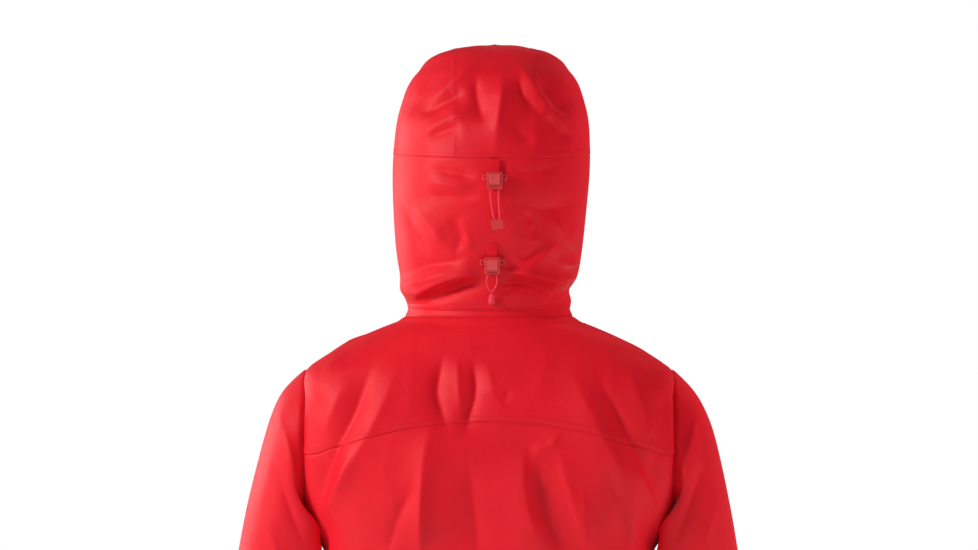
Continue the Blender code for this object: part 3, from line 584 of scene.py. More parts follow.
def cloth_material(name, colour, roughness, pitch=0.0009, weave=0.25, sheen=0.03, vary=0.07):
    """Woven cloth with small wrinkles, and a colour that varies a little."""
    m = Nodes(name)
    place = m.add("ShaderNodeTexCoord").outputs["Object"]
    broad = m.noise(place, 11.0, 3.0)
    fine = m.noise(place, 420.0, 2.0)
    mixed = m.math("ADD", m.math("MULTIPLY", broad, 0.75), m.math("MULTIPLY", fine, 0.25))
    stops = (0.32, shade(colour, 1 - vary)), (0.5, colour), (0.70, shade(colour, 1 + vary))
    m.join(m.ramp(mixed, stops), m.shader.inputs["Base Color"])
    m.roughness(m.noise(place, 34.0), roughness - 0.05, roughness + 0.06)
    m.shader.inputs["Sheen Weight"].default_value = sheen
    m.shader.inputs["Sheen Roughness"].default_value = 0.45
    m.shader.inputs["Sheen Tint"].default_value = (1.0, 0.55, 0.55, 1)
    m.shader.inputs["Specular IOR Level"].default_value = 0.28
    m.bump(
        (
            (m.noise(place, 55.0, 3.0, 0.55), 0.30, 0.0016),
            (m.noise(place, 170.0, 2.0), 0.18, 0.0005),
            (m.weave(pitch), weave, 0.00012),
        )
    )
    return m.material


def plastic_material(name, colour, roughness, transmission=0.0, grain=0.25, scale=900.0, metallic=0.0):
    """Moulded plastic or painted metal with a fine grain."""
    m = Nodes(name)
    place = m.add("ShaderNodeTexCoord").outputs["Object"]
    broad = m.noise(place, 130.0, 3.0)
    stops = (0.3, shade(colour, 0.90)), (0.7, shade(colour, 1.10))
    m.join(m.ramp(broad, stops), m.shader.inputs["Base Color"])
    m.roughness(m.noise(place, 260.0), roughness - 0.06, roughness + 0.10)
    m.shader.inputs["Transmission Weight"].default_value = transmission
    m.shader.inputs["Metallic"].default_value = metallic
    m.bump(((m.noise(place, scale, 2.0), grain, 0.0002),))
    return m.material


def tape_material(name, colour, roughness, pitch, depth=0.0003):
    """Webbing or cord: ribs across one way and threads across the other, with painted shade that darkens the
    colour in the grooves between the ribs.
    """
    m = Nodes(name)
    place = m.add("ShaderNodeTexCoord").outputs["Object"]
    split = m.add("ShaderNodeSeparateXYZ")
    m.join(place, split.inputs[0])
    rate = 2 * math.pi / pitch
    x, y, z = (m.math("MULTIPLY", split.outputs[k], rate) for k in range(3))
    level = m.math("MULTIPLY", m.math("ADD", x, y), 0.8)
    height = m.math("MAXIMUM", *(m.math("SINE", m.math(way, z, level)) for way in ("ADD", "SUBTRACT")))
    # Painted shade: the colour is darker where the ribs are low, in the grooves between them.
    rib_groove_shade = m.math("MULTIPLY_ADD", height, 0.30)
    rib_groove_shade.node.inputs[2].default_value = 0.45
    stops = (0.1, shade(colour, 0.78)), (0.75, shade(colour, 1.08))
    m.join(m.ramp(rib_groove_shade, stops), m.shader.inputs["Base Color"])
    m.shader.inputs["Roughness"].default_value = roughness
    m.shader.inputs["Specular IOR Level"].default_value = 0.25
    m.bump(((height, 0.5, depth), (m.noise(place, 900.0), 0.3, 0.0001)))
    return m.material


RED = (0.76, 0.005, 0.017)
SHELL = cloth_material("shell_cloth", RED, 0.55)
LINING = cloth_material("lining_cloth", (0.30, 0.020, 0.030), 0.75, pitch=0.0016, weave=0.5, sheen=0.3)
THREAD = tape_material("thread", (0.68, 0.008, 0.020), 0.6, 0.0008, 0.0001)
WEBBING = tape_material("webbing_weave", (0.80, 0.001, 0.014), 0.65, 0.0014)
CORD = tape_material("cord_braid", (0.84, 0.045, 0.075), 0.5, 0.0016, 0.00025)
LOCK = plastic_material("lock_tinted_plastic", (0.78, 0.036, 0.044), 0.30, transmission=0.2)
BUTTON = plastic_material("button_grained_plastic", (0.70, 0.055, 0.062), 0.48, grain=0.7, scale=1400.0)
ZIP_TAPE = cloth_material("zip_coated_tape", (0.40, 0.008, 0.015), 0.38, pitch=0.0012, weave=0.5, sheen=0.0)
METAL = plastic_material("zip_painted_metal", (0.24, 0.010, 0.014), 0.30, metallic=0.55, grain=0.15)
RUBBER = plastic_material("tab_moulded_rubber", (0.50, 0.012, 0.024), 0.55, grain=0.4, scale=700.0)
FLEECE = cloth_material(
    "chin_fleece", (0.22, 0.016, 0.024), 0.95, pitch=0.0024, weave=0.8, sheen=0.6, vary=0.15
)
HOOKS = plastic_material("hook_and_loop", (0.30, 0.010, 0.018), 0.85, grain=1.0, scale=1500.0)

# ---- body ---------------------------------------------------------------------------
# Folds of the back, in millimetres from the neck seam's middle: the route in X and Z,
# the height (negative for a valley), and the widths of the flanks.
BACK_FOLDS = (
    # left: a long valley from the neck's corner to the armpit, with ridges beside it
    (((126, -36), (138, -70), (154, -110), (172, -146), (184, -184), (190, -230)), -11.0, 15, 13),
    (((97, -40), (112, -80), (128, -116), (148, -152), (166, -190), (180, -240)), 7.0, 24, 16),
    (((152, -142), (162, -170), (174, -198), (189, -230)), 5.0, 4.0, 5.5),
    (((190, -62), (198, -94), (210, -128)), 4.4, 7, 9),
    (((158, -36), (180, -54), (204, -72)), 1.6, 6, 6),
    (((152, -62), (166, -84), (180, -112), (196, -152)), 3.4, 10, 9),
    # middle: two short valleys down the spine, which open out into one hollow
    (((50, -36), (58, -78), (53, -104), (46, -130)), -7.0, 11, 10),
    (((36, -40), (34, -82), (31, -112)), 3.0, 7, 6),
    (((20, -38), (15, -78), (21, -106), (30, -136)), -7.0, 9, 10),
    (((4, -46), (-2, -72), (-8, -94)), 2.2, 14, 8),
    (((60, -108), (70, -140), (74, -170), (77, -216), (77, -280)), 11.0, 26, 30),
    (((72, -160), (76, -200), (76, -270)), 2.4, 5, 4),
    (((24, -150), (18, -200), (10, -280)), -4.5, 22, 18),
    (((80, -178), (92, -204), (104, -230), (114, -270)), -4.6, 7, 8),
    (((-21, -76), (-20, -88), (-12, -97)), -2.0, 6, 6),
    # right: a hooked fold, then the long valleys to the armpit
    (((-78, -128), (-72, -140), (-60, -147), (-44, -149)), 3.2, 5, 5),
    (((-38, -140), (-39, -178), (-46, -220), (-68, -272)), 10.0, 34, 9),
    (((-56, -154), (-58, -190), (-68, -232), (-90, -272)), -5.0, 10, 12),
    (((-78, -136), (-86, -180), (-100, -224), (-114, -272)), 4.4, 10, 14),
    (((-84, -44), (-104, -86), (-126, -132), (-150, -176), (-174, -228)), 8.0, 26, 20),
    (((-116, -52), (-136, -92), (-158, -134), (-176, -172), (-190, -214)), -9.0, 12, 12),
    (((-148, -46), (-166, -86), (-180, -120), (-194, -158)), 4.4, 12, 8),
    (((-162, -150), (-171, -176), (-180, -200), (-191, -230)), 5.0, 5.0, 4.5),
    (((-104, -190), (-108, -226), (-113, -272)), 3.0, 5, 4),
    (((-130, -164), (-144, -204), (-154, -240), (-160, -276)), -5.0, 9, 8),
    (((-159, -196), (-161, -230), (-160, -272)), 3.0, 5, 4),
    # the lower back: long soft folds that hang from the ones above
    (((79, -262), (86, -380), (74, -480), (80, -610)), 6.0, 26, 22),
    (((38, -430), (28, -530), (36, -650)), 3.4, 14, 14),
    (((8, -262), (0, -380), (8, -520)), -5.0, 24, 22),
    (((134, -300), (142, -400), (128, -520), (134, -630)), -5.0, 18, 16),
    (((-42, -400), (-50, -520), (-40, -640)), 4.6, 20, 20),
    (((-96, -256), (-108, -360), (-100, -460), (-112, -570)), 5.0, 16, 22),
    (((-152, -260), (-158, -360), (-148, -480)), 4.0, 12, 14),
)
# Folds of the front, for X on either side and height from the back neck seam.
FRONT_FOLDS = (
    (((178, -160), (150, -200), (120, -245), (96, -300)), 4.6, 13, 9),
    (((183, -180), (166, -230), (152, -300), (147, -390)), -4.6, 11, 11),
    (((62, -64), (94, -92), (132, -114), (168, -130)), 3.2, 12, 10),
    (((46, -124), (70, -164), (90, -220), (94, -280)), -3.6, 15, 13),
    (((66, -330), (56, -420), (64, -520), (58, -620)), 4.4, 20, 16),
    (((154, -420), (148, -500), (156, -610)), -4.2, 16, 15),
    (((32, -250), (38, -350), (30, -470)), 3.0, 10, 11),
    (((96, -540), (92, -600), (98, -660)), 3.4, 14, 12),
)
POCKET_FOOT = (0.1050, 0.225)  # x and z of the ends of a hand pocket's zip
POCKET_TOP = (0.1290, 0.405)
HEM_LOCK_PLACE = (0.180348, -0.06333, 0.066237)


def from_pocket(p):
    """The distance from a hand pocket's zip."""
    foot, top = np.array(POCKET_FOOT), np.array(POCKET_TOP)
    length = np.linalg.norm(top - foot)
    ahead = (top - foot) / length
    x, z = np.abs(p[..., 0]) - foot[0], p[..., 2] - foot[1]
    t = np.clip(x * ahead[0] + z * ahead[1], 0, length)
    away = np.hypot(x - t * ahead[0], z - t * ahead[1])
    return np.where(p[..., 1] < BODY_Y, away, 1.0)


def from_hem_lock(p):
    """The distance from the hem's cord lock on the same side."""
    on_left = np.stack((np.abs(p[..., 0]), p[..., 1], p[..., 2]), -1)
    return np.linalg.norm(on_left - HEM_LOCK_PLACE, axis=-1)


def back_weight(p):
    """1 on the back of the body and 0 on its front."""
    return smooth(p[..., 1] - BODY_Y, -0.012, 0.045)


def loose_cloth(p):
    """Wrinkles that soft cloth has everywhere, in metres."""
    warp = noise(p, 0.09)[..., None] * (0.02, 0.02, 0.05)
    tall = noise(p + warp, (0.045, 0.045, 0.20))
    short = noise(p + 0.7 * warp + 3.1, (0.022, 0.022, 0.085))
    crisp = (1 - np.abs(noise(p + warp + 7.7, (0.075, 0.075, 0.26)))) ** 6
    return 0.0030 * tall + 0.0009 * short + 0.0022 * crisp


def drape_body(p, n):
    """How far the body's cloth stands off its plain curve."""
    rear = back_weight(p) * smooth(n[..., 1], 0.0, 0.30)
    x, z = p[..., 0], p[..., 2] - NECK_LEVEL
    back = fold_field(*seen(p), BACK_FOLDS)
    loose = loose_cloth(p)
    low = smooth(-z, 0.20, 0.36)
    near_neck = smooth(-z, 0.0, 0.05)
    front = fold_field(np.abs(x), z + 0.012 * (x < 0), FRONT_FOLDS)
    ahead = 1 - smooth(p[..., 1] - BODY_Y, -0.045, -0.012)
    out = rear * (back + (0.35 + 0.65 * low) * loose * near_neck)
    out = out + (1 - rear) * (loose + ahead * front) * near_neck
    # The hem and the zip hold the cloth flat.
    out *= smooth(p[..., 2], HEM_HEIGHT - 0.002, 0.10) * 0.8 + 0.2 * (p[..., 2] > HEM_HEIGHT)
    out *= np.where(p[..., 1] < BODY_Y, smooth(np.abs(x), 0.014, 0.055), 1)
    # So do the pockets' zips, each in a raised welt, and the hem's cord locks.
    away = from_pocket(p)
    out = out * smooth(away, 0.007, 0.034) + hump(away, 0.0085, 0.0018, 0.0012)
    return out * (0.15 + 0.85 * smooth(from_hem_lock(p), 0.014, 0.036))


def seam_groove(distance, width=0.0009, depth=0.0006):
    """The groove that a seam leaves in the cloth."""
    return hump(distance, 0, width, -depth)


def felled(distance, width, height, start=0.001):
    """The raised band of a felled seam, on one side of it."""
    return height * smooth(distance, 0, start) * (1 - smooth(distance, width, width + 0.002))


BODY_COLUMNS = 430
BODY_LOW_ROWS = 210  # from the hem to the yoke's seam
BODY_HIGH_ROWS = 74  # from there to the neck


def body_rows():
    """The levels of the body's rows at each column, with one row on the yoke's seam."""
    fine = np.linspace(HEM_HEIGHT + 0.0004, NECK_LEVEL, 1500)
    # Rows are spaced by the distances down the side and down the back.
    run = sum(run_along(body(np.full_like(fine, angle), fine)) for angle in (0, math.pi / 2))
    angle = np.linspace(-math.pi / 2, 1.5 * math.pi, BODY_COLUMNS)
    seam = np.full(BODY_COLUMNS, YOKE_TOP_Z)
    for _ in range(6):
        x = body(np.clip(angle, 0, math.pi), seam)[..., 0]
        seam = YOKE_TOP_Z - YOKE_FALL * x**2
    close = np.array((0.0030, 0.0014, 0.0005, 0.0))
    levels = []
    for at in np.interp(seam, fine, run):
        below = np.concatenate((np.linspace(0, at - 0.006, BODY_LOW_ROWS - 3), at - close))
        above = np.concatenate((at + close[-2::-1], np.linspace(at + 0.006, run[-1], BODY_HIGH_ROWS - 3)))
        levels.append(np.interp(np.concatenate((below, above)), run, fine))
    return np.array(levels)


def from_armhole(p):
    """The distance from the axis that a sleeve turns about."""
    return np.hypot(p[..., 1] - BODY_Y, p[..., 2] - ARMHOLE_Z)


def calm_beside_arms(p, out):
    """Folds fade out beside a sleeve, so that its head turns clear of them."""
    from_axis = from_armhole(p)
    clear = np.where(out > 0, 0.030, 0.011)
    sides = np.abs(p[..., 0]) > ARM_SIDE_X
    near_arm = np.where(sides, smooth(from_axis, ARMHOLE_R + 0.001, ARMHOLE_R + clear), 1)
    out = out * (0.1 + 0.9 * near_arm)
    beside = smooth(np.abs(p[..., 0]), 0.172, 0.186) * (1 - smooth(from_axis, 0.24, 0.29))
    return np.where(out > 0, out * (1 - 0.85 * beside), out)


def body_seams(p, angles, from_yoke):
    """The relief of the yoke's seam, the side seams and the armholes' welts."""
    rearward = smooth(np.sin(angles), -0.02, 0.04)
    out = rearward * seam_groove(from_yoke)
    out += rearward * felled(from_yoke, 0.0075, 0.0006, start=0.0012)
    for seam_angle in (0, math.pi):
        out += seam_groove(np.abs(angles - seam_angle) * np.hypot(p[..., 0], p[..., 1] - BODY_Y))
    welt = hump(from_armhole(p), ARMHOLE_R + 0.005, 0.0035, 0.0004)
    return out + np.where(np.abs(p[..., 0]) > ARM_SIDE_X, welt, 0)


def cut_armholes(p, sides, from_axis):
    """Points just inside an armhole's circle move onto it, and stay beside the sleeve's head."""
    moved = sides & (from_axis < ARMHOLE_R + 0.0009)
    scale = np.where(moved, ARMHOLE_R / np.maximum(from_axis, 1e-6), 1)
    p[..., 1] = BODY_Y + (p[..., 1] - BODY_Y) * scale
    p[..., 2] = ARMHOLE_Z + (p[..., 2] - ARMHOLE_Z) * scale
    side_limit = ARMHOLE_X + 0.0006 + 0.012 * smooth(from_axis, ARMHOLE_R + 0.004, ARMHOLE_R + 0.030)
    p[..., 0] = np.clip(p[..., 0], -side_limit, side_limit)


def side_seam_lines(p, n, column):
    """Thread on both sides of a side seam, below and above the armhole."""
    j = np.arange(4, p.shape[1] - 4, dtype=float)
    lines = []
    for offset in (-1.2, 1.2):
        points, normals = grid_line(p, n, column + offset, j)
        clear = from_armhole(points) > ARMHOLE_R + 0.003
        for part in (clear & (points[:, 2] < ARMHOLE_Z), clear & (points[:, 2] > ARMHOLE_Z)):
            if part.sum() > 4:
                lines.append((points[part], normals[part]))
    return lines


def armhole_line(p, n, hand):
    """Thread round an armhole, on the body's side of the seam."""
    half = p[..., 0] * hand > 0.12
    cloth, cloth_normals = p[half], n[half]
    points, normals = [], []
    for around in np.linspace(0, 2 * math.pi, 160):
        y = BODY_Y + (ARMHOLE_R + 0.0028) * math.cos(around)
        z = ARMHOLE_Z + (ARMHOLE_R + 0.0028) * math.sin(around)
        away = (cloth[:, 1] - y) ** 2 + (cloth[:, 2] - z) ** 2
        near = np.argsort(away)[:4]
        weight = 1 / (away[near] + 1e-8)
        x = (cloth[near, 0] * weight).sum() / weight.sum()
        points.append((x, y, z))
        normals.append(cloth_normals[near[0]])
    return np.array(points), np.array(normals)


def column_at(angles, angle):
    """The column nearest to an angle round the body."""
    return int(np.argmin(np.abs(angles[:, 0] - angle)))


def build_body():
    levels = body_rows()
    start = edge_angle(body, levels)
    angles = start + (math.pi - 2 * start) * np.linspace(0, 1, BODY_COLUMNS)[:, None]
    p = body(angles, levels)
    n = normals_of(p)
    run = arc(p, 1)
    from_yoke = run - run[:, BODY_LOW_ROWS : BODY_LOW_ROWS + 1]
    out = calm_beside_arms(p, drape_body(p, n)) + body_seams(p, angles, from_yoke)
    from_axis = from_armhole(p)
    sides = np.abs(p[..., 0]) > ARM_SIDE_X
    p = neck_fillet(p + n * out[..., None], run[:, -1:] - run, 0.013)
    keep = ~(sides & (from_axis < ARMHOLE_R - 0.0022))
    cut_armholes(p, sides, from_axis)
    n = normals_of(p)

    left, right = column_at(angles, 0), column_at(angles, math.pi)
    cuts = (
        ("back_panel", slice(left, right + 1), slice(0, BODY_LOW_ROWS + 1)),
        ("back_yoke", slice(left, right + 1), slice(BODY_LOW_ROWS, None)),
        ("front_panel_left", slice(0, left + 1), slice(0, None)),
        ("front_panel_right", slice(right, None), slice(0, None)),
    )
    for name, i, j in cuts:
        shown = keep[i, j]
        sewn_piece(f"{name}_cloth", [name], p[i, j], (SHELL, LINING), "jacket", "shell_fabric", keep=shown)

    across_back = np.arange(left, right + 1, dtype=float)
    lines = [line_beside(p, n, from_yoke, across_back, offset) for offset in (0.0016, 0.0066)]
    for column in (left, right):
        lines += side_seam_lines(p, n, column)
    down = np.arange(4, p.shape[1] - 4, dtype=float)
    for column in (3.0, 5.0, BODY_COLUMNS - 4.0, BODY_COLUMNS - 6.0):
        lines.append(grid_line(p, n, column, down))
    for hand in (1, -1):
        lines.append(armhole_line(p, n, hand))
    stitch_mesh("stitching_body", lines, "jacket")


build_body()


# ---- the hood -----------------------------------------------------------------------
HOOD_FOLDS = (
    # crown: a ridge down the middle, and valleys that fan out from it
    (((-16, 284), (-14, 248), (-9, 212), (-7, 176)), 7.0, 16, 22),
    (((-15, 262), (-12, 236), (-8, 206)), 1.8, 6, 3),
    (((15, 276), (14, 252), (9, 232), (3, 214)), -5.0, 9, 8),
    (((8, 290), (32, 268), (52, 252), (74, 232)), 4.6, 9, 6),
    (((24, 256), (44, 246), (60, 238), (78, 225)), -5.5, 6, 8),
    (((18, 238), (34, 227), (58, 215), (80, 198)), 4.0, 9, 7),
    (((30, 216), (50, 211), (72, 201)), -4.6, 6, 7),
    (((70, 266), (84, 238), (98, 204)), 2.6, 7, 7),
    (((48, 278), (72, 252), (92, 220)), -2.4, 6, 6),
    (((-32, 274), (-37, 252), (-49, 238), (-60, 224)), -6.0, 9, 7),
    (((-27, 290), (-46, 262), (-62, 238), (-76, 218)), 5.0, 8, 8),
    (((-52, 270), (-72, 246), (-92, 225)), -5.0, 6, 8),
    (((-58, 228), (-74, 216), (-95, 197)), -5.0, 8, 7),
    (((-66, 238), (-82, 222), (-100, 204)), 3.4, 6, 7),
    (((-24, 222), (-34, 208), (-52, 194)), -3.0, 10, 10),
    # under the seam: level creases beside the upper lock
    (((68, 168), (44, 163), (12, 157)), -3.4, 4, 6),
    (((72, 154), (44, 149), (14, 146)), 3.2, 7, 6),
    (((70, 139), (40, 136), (8, 136)), -3.6, 4, 9),
    (((-22, 168), (-46, 163), (-82, 170)), -2.4, 6, 7),
    (((-28, 134), (-58, 122), (-96, 128)), -3.0, 10, 10),
    # the lower half: slanting folds that meet the sag above the neck
    (((99, 130), (89, 104), (76, 82), (66, 66)), -4.6, 6, 8),
    (((82, 134), (71, 116), (58, 98), (52, 78)), 4.6, 8, 8),
    (((46, 112), (32, 98), (33, 84), (41, 70)), -4.2, 9, 6),
    (((34, 114), (25, 92), (20, 74)), 3.4, 6, 9),
    (((-38, 120), (-53, 104), (-46, 86)), -3.6, 9, 9),
    (((-68, 118), (-82, 96), (-96, 74)), 3.8, 9, 9),
    (((-76, 90), (-62, 72), (-46, 60), (-30, 55)), 4.2, 6, 8),
    (((-62, 86), (-48, 71), (-33, 64)), -3.6, 6, 6),
    (((-76, 66), (-88, 60), (-103, 64)), 3.2, 5, 6),
    (((-80, 48), (-92, 44), (-105, 52)), 2.8, 5, 5),
    (((97, 48), (72, 58), (42, 63), (22, 71)), -5.0, 5, 8),
    (((99, 37), (76, 44), (54, 50), (34, 58)), 4.4, 6, 6),
    (((92, 8), (74, 28), (50, 42), (26, 49), (0, 47)), 10.0, 5.0, 16),
    (((86, -2), (68, 15), (46, 29), (24, 37), (0, 35)), -7.6, 7, 6),
    (((-10, 52), (-42, 52), (-62, 46), (-80, 40), (-92, 22)), 9.6, 14, 4.5),
    (((-8, 38), (-40, 39), (-60, 33), (-78, 24)), -7.0, 6, 7),
    (((50, 24), (30, 18), (2, 18)), 2.0, 7, 7),
    (((-72, 24), (-78, 13), (-84, 2)), 2.8, 5, 5),
)


def drape_hood(p, n):
    """How far the hood's cloth stands off its plain curve."""
    rear = smooth(p[..., 1], 0.004, 0.050) * smooth(n[..., 1], 0.02, 0.40)
    folds = 1.15 * fold_field(*seen(p), HOOD_FOLDS)
    loose = 0.55 * loose_cloth(p * (1, 1, 0.7) + 4.2)
    # Low down, the left side hangs over and the right side is drawn in.
    height = p[..., 2] - NECK_LEVEL
    left, right = (smooth(hand * p[..., 0], 0.060, 0.088) for hand in (1, -1))
    out = left * hump(height, 0.034, 0.011, 0.0040) - right * hump(height, 0.027, 0.012, 0.0072)
    return out + rear * folds + (0.30 + 0.5 * (1 - rear)) * loose


HOOD_COLUMNS = 300
HOOD_LOW_ROWS = 100  # from the collar to the level seam
HOOD_HIGH_ROWS = 114  # from there over the head
CROWN_MIDDLE = -0.0055  # where the crown panel's middle lies in X
HOOD_FELL = (0.006, 0.0003)  # how wide and how high a felled seam of the hood is
BINDING = 0.0095  # the width of the binding round the face


def hood_rows():
    """The hood's rows: closest together at its level seam and at the ridge over the head."""
    close = np.array((0.0100, 0.0046, 0.0016, 0.0))
    over = np.sin(np.linspace(0.04, 1, HOOD_HIGH_ROWS - 3) * math.pi / 2)
    low = np.linspace(0, HOOD_SEAM - 0.018, HOOD_LOW_ROWS - 3)
    return np.concatenate(
        (low, HOOD_SEAM - close, HOOD_SEAM + close[-2::-1], HOOD_SEAM + (1 - HOOD_SEAM) * over)
    )


def hood_grid(across, row):
    """The hood's plain points and normals. The ridge over the head is let down in its middle."""
    p = lean(hood(across, row))
    p[..., 2] -= 0.0035 * (1 - smooth(row, 0, 0.12))
    p[..., 2] -= smooth(row, 0.80, 1.0) * hump(p[..., 0], -HOOD_LEAN, 0.020, 0.0022)
    n = normals_of(p)
    ridge = smooth(row, 0.985, 1.0)[..., None]
    up = np.array((0, 0.25, 1.0)) / np.hypot(0.25, 1.0)
    n = n * (1 - ridge) + up * ridge
    return p, n / np.linalg.norm(n, axis=-1, keepdims=True)


def crown_line(p, n, hand, inset):
    """A line beside a seam of the crown panel, from the level seam to the brim."""
    want = CROWN_HALF_WIDTH - inset
    middle = HOOD_COLUMNS // 2
    columns, rows = [], []
    for i in range(middle, 0, -1) if hand > 0 else range(middle, HOOD_COLUMNS - 1):
        x = (p[i, HOOD_LOW_ROWS:, 0] - CROWN_MIDDLE) * hand
        over = np.nonzero((x[:-1] >= want) & (x[1:] < want))[0]
        if len(over):
            a = over[-1]
            columns.append(i)
            rows.append(HOOD_LOW_ROWS + a + (x[a] - want) / (x[a] - x[a + 1]))
    return grid_line(p, n, columns, rows)


def face_line(p, n, edge_way, left):
    """Thread along the binding of the face's edge."""
    down = np.linspace(2, p.shape[1] - 9, 260)
    columns = []
    for j in down:
        way = edge_way[:, int(j)]
        at = BINDING - 0.001 if left else way[-1] - BINDING + 0.001
        columns.append(np.interp(at, way, np.arange(HOOD_COLUMNS)))
    return grid_line(p, n, columns, down)


def build_hood():
    across = np.linspace(0, 1, HOOD_COLUMNS)[:, None]
    across, row = np.broadcast_arrays(across, hood_rows()[None, :])
    p, n = hood_grid(across, row)
    edge = smooth(np.minimum(across, 1 - across), 0.0, 0.05)
    out = drape_hood(p, n) * edge * smooth(row, 0, 0.07)
    out += 0.0016 * (1 - smooth(row, 0.02, 0.10)) * edge
    run = arc(p, 1)
    from_seam = run - run[:, HOOD_LOW_ROWS : HOOD_LOW_ROWS + 1]
    out += seam_groove(from_seam, depth=0.0002) + felled(from_seam, *HOOD_FELL)
    from_crown = np.abs(p[..., 0] - CROWN_MIDDLE) - CROWN_HALF_WIDTH
    crown_seam = seam_groove(from_crown, depth=0.0003) + felled(-from_crown, *HOOD_FELL)
    out += np.where(row > HOOD_SEAM, crown_seam, 0)
    edge_way = arc(p, 0)
    to_edge = np.minimum(edge_way, edge_way[-1:] - edge_way)
    out += 0.0009 * (1 - smooth(to_edge, BINDING, BINDING + 0.002))
    p = p + n * out[..., None]
    n = normals_of(p)

    crown_panels = ["hood_crown_panel", "hood_side_panel_left", "hood_side_panel_right"]
    finishes = (SHELL, LINING)
    low, high = p[:, : HOOD_LOW_ROWS + 1], p[:, HOOD_LOW_ROWS:]
    sewn_piece("hood_lower_cloth", ["hood_lower_panel"], low, finishes, "hood", "shell_fabric")
    sewn_piece("hood_crown_cloth", crown_panels, high, finishes, "hood", "shell_fabric")

    insets = (0.0014, 0.0054)
    round_back = np.arange(2, HOOD_COLUMNS - 2, dtype=float)
    lines = [line_beside(p, n, from_seam, round_back, inset) for inset in insets]
    lines += [face_line(p, n, edge_way, left) for left in (True, False)]
    lines += [crown_line(p, n, hand, inset) for hand in (1, -1) for inset in insets]
    stitch_mesh("stitching_hood", lines, "hood", length=0.0024)


build_hood()


def build_brim():
    columns, rows = 120, 22
    i, j = unit_grid(columns, rows)
    away = 1 - 2 * i
    # The brim is deepest in the middle, and its rows run from its edge to the hood.
    share = (1.08 - away**2) / 1.08 * (1 - j)
    p = lean(hood(np.where(away < 0, 0.0, 1.0), 1 - BRIM_ROWS * np.abs(away)))
    p[..., 1] -= 0.0004 + BRIM_DEPTH * share
    p[..., 2] -= BRIM_DROP * share
    n = normals_of(p)
    way = share * BRIM_DEPTH
    from_edge = way.max(1, keepdims=True) - way
    out = hump(from_edge, 0, 0.0045, 0.0010)
    for line_at in (0.010, 0.016, 0.022):
        out -= hump(from_edge, line_at, 0.0009, 0.0004)
    p = p + n * out[..., None]
    sewn_piece("hood_brim_cloth", ["hood_brim"], p, (SHELL, LINING), "hood", "shell_fabric", thick=0.0024)
    n = normals_of(p)
    along = np.linspace(3, columns - 4, 160)
    stitch_mesh("stitching_brim", [grid_line(p, n, along, j) for j in (2.2, 7.0)], "hood", length=0.0024)


build_brim()


# ---- collar, hem --------------------------------------------------------------------
def build_collar():
    columns, rows = 260, 40
    share = np.tile(np.linspace(0, 1, rows), (columns, 1))
    start = edge_angle(collar, share)
    angles = start + (math.pi - 2 * start) * np.linspace(0, 1, columns)[:, None]
    p = collar(angles, share)
    n = normals_of(p)
    loose = 0.0016 * noise(p, (0.05, 0.05, 0.03)) + 0.0010 * noise(p + 2, (0.02, 0.02, 0.012))
    out = smooth(-np.sin(angles), 0.0, 0.6) * smooth(np.abs(p[..., 0]), 0.014, 0.040) * loose
    height = arc(p, 1)
    top = height[:, -1:] - height
    out += seam_groove(height, 0.0014, 0.0002)
    out += 0.0008 * (1 - smooth(top, 0.0050, 0.0065)) - hump(top, 0.006, 0.0008, 0.0004)
    p = neck_fillet(p + n * out[..., None], height, 0.010)
    sewn_piece("collar_cloth", ["collar"], p, (SHELL, LINING), "jacket", "shell_fabric", thick=0.0022)
    n = normals_of(p)
    around = np.linspace(2, columns - 3, 420)
    lines = [grid_line(p, n, around, j) for j in (5.0, rows - 8.0)]
    stitch_mesh("stitching_collar", lines, "jacket", length=0.0024)


def build_chin_guards():
    columns, rows = 60, 26
    share = np.tile(np.linspace(0.12, 0.92, rows), (columns, 1))
    i = np.linspace(0, 1, columns)[:, None]
    p = collar(edge_angle(collar, share) + 0.10 + math.radians(56) * i, share)
    depth = 0.0038 - 0.0006 * smooth(np.minimum(i, 1 - i), 0, 0.08)
    p = (p - normals_of(p) * depth[..., None])[::-1]
    for side in SIDES:
        name, replaced = f"chin_guard_cloth_{side}", [f"chin_guard_{side}"]
        how = {"thick": 0.0008, "mirror": side == "right"}
        sewn_piece(name, replaced, p, (FLEECE, FLEECE), "jacket", "lining_fabric", **how)


def build_hem():
    columns, rows = 430, 16
    level = np.tile(np.linspace(0, HEM_HEIGHT, rows), (columns, 1))
    start = edge_angle(body, level)
    angles = start + (math.pi - 2 * start) * np.linspace(0, 1, columns)[:, None]
    p = body(angles, level)
    n = normals_of(p)
    n[..., 2] = 0
    arch = np.sin(np.clip(level / HEM_HEIGHT, 0, 1) * math.pi)
    tall = p * (1, 1, 0.2)
    gather = noise(tall, (0.012, 0.012, 0.1)) + 0.6 * noise(tall + 5, (0.03, 0.03, 0.1))
    p = p + n * (0.0011 * arch**0.5 + 0.0006 * gather * arch)[..., None]
    left, right = column_at(angles, 0), column_at(angles, math.pi)
    cuts = (
        ("hem_band_back", slice(left, right + 1)),
        ("hem_band_left", slice(0, left + 1)),
        ("hem_band_right", slice(right, None)),
    )
    for name, i in cuts:
        sewn_piece(f"{name}_cloth", [name], p[i], (SHELL, LINING), "jacket", "shell_fabric", thick=0.0026)
    n = normals_of(p)
    around = np.linspace(2, columns - 3, 900)
    lines = [grid_line(p, n, around, j) for j in (13.2, 14.4)]
    stitch_mesh("stitching_hem", lines, "jacket", length=0.0028)


build_collar()
build_chin_guards()
build_hem()


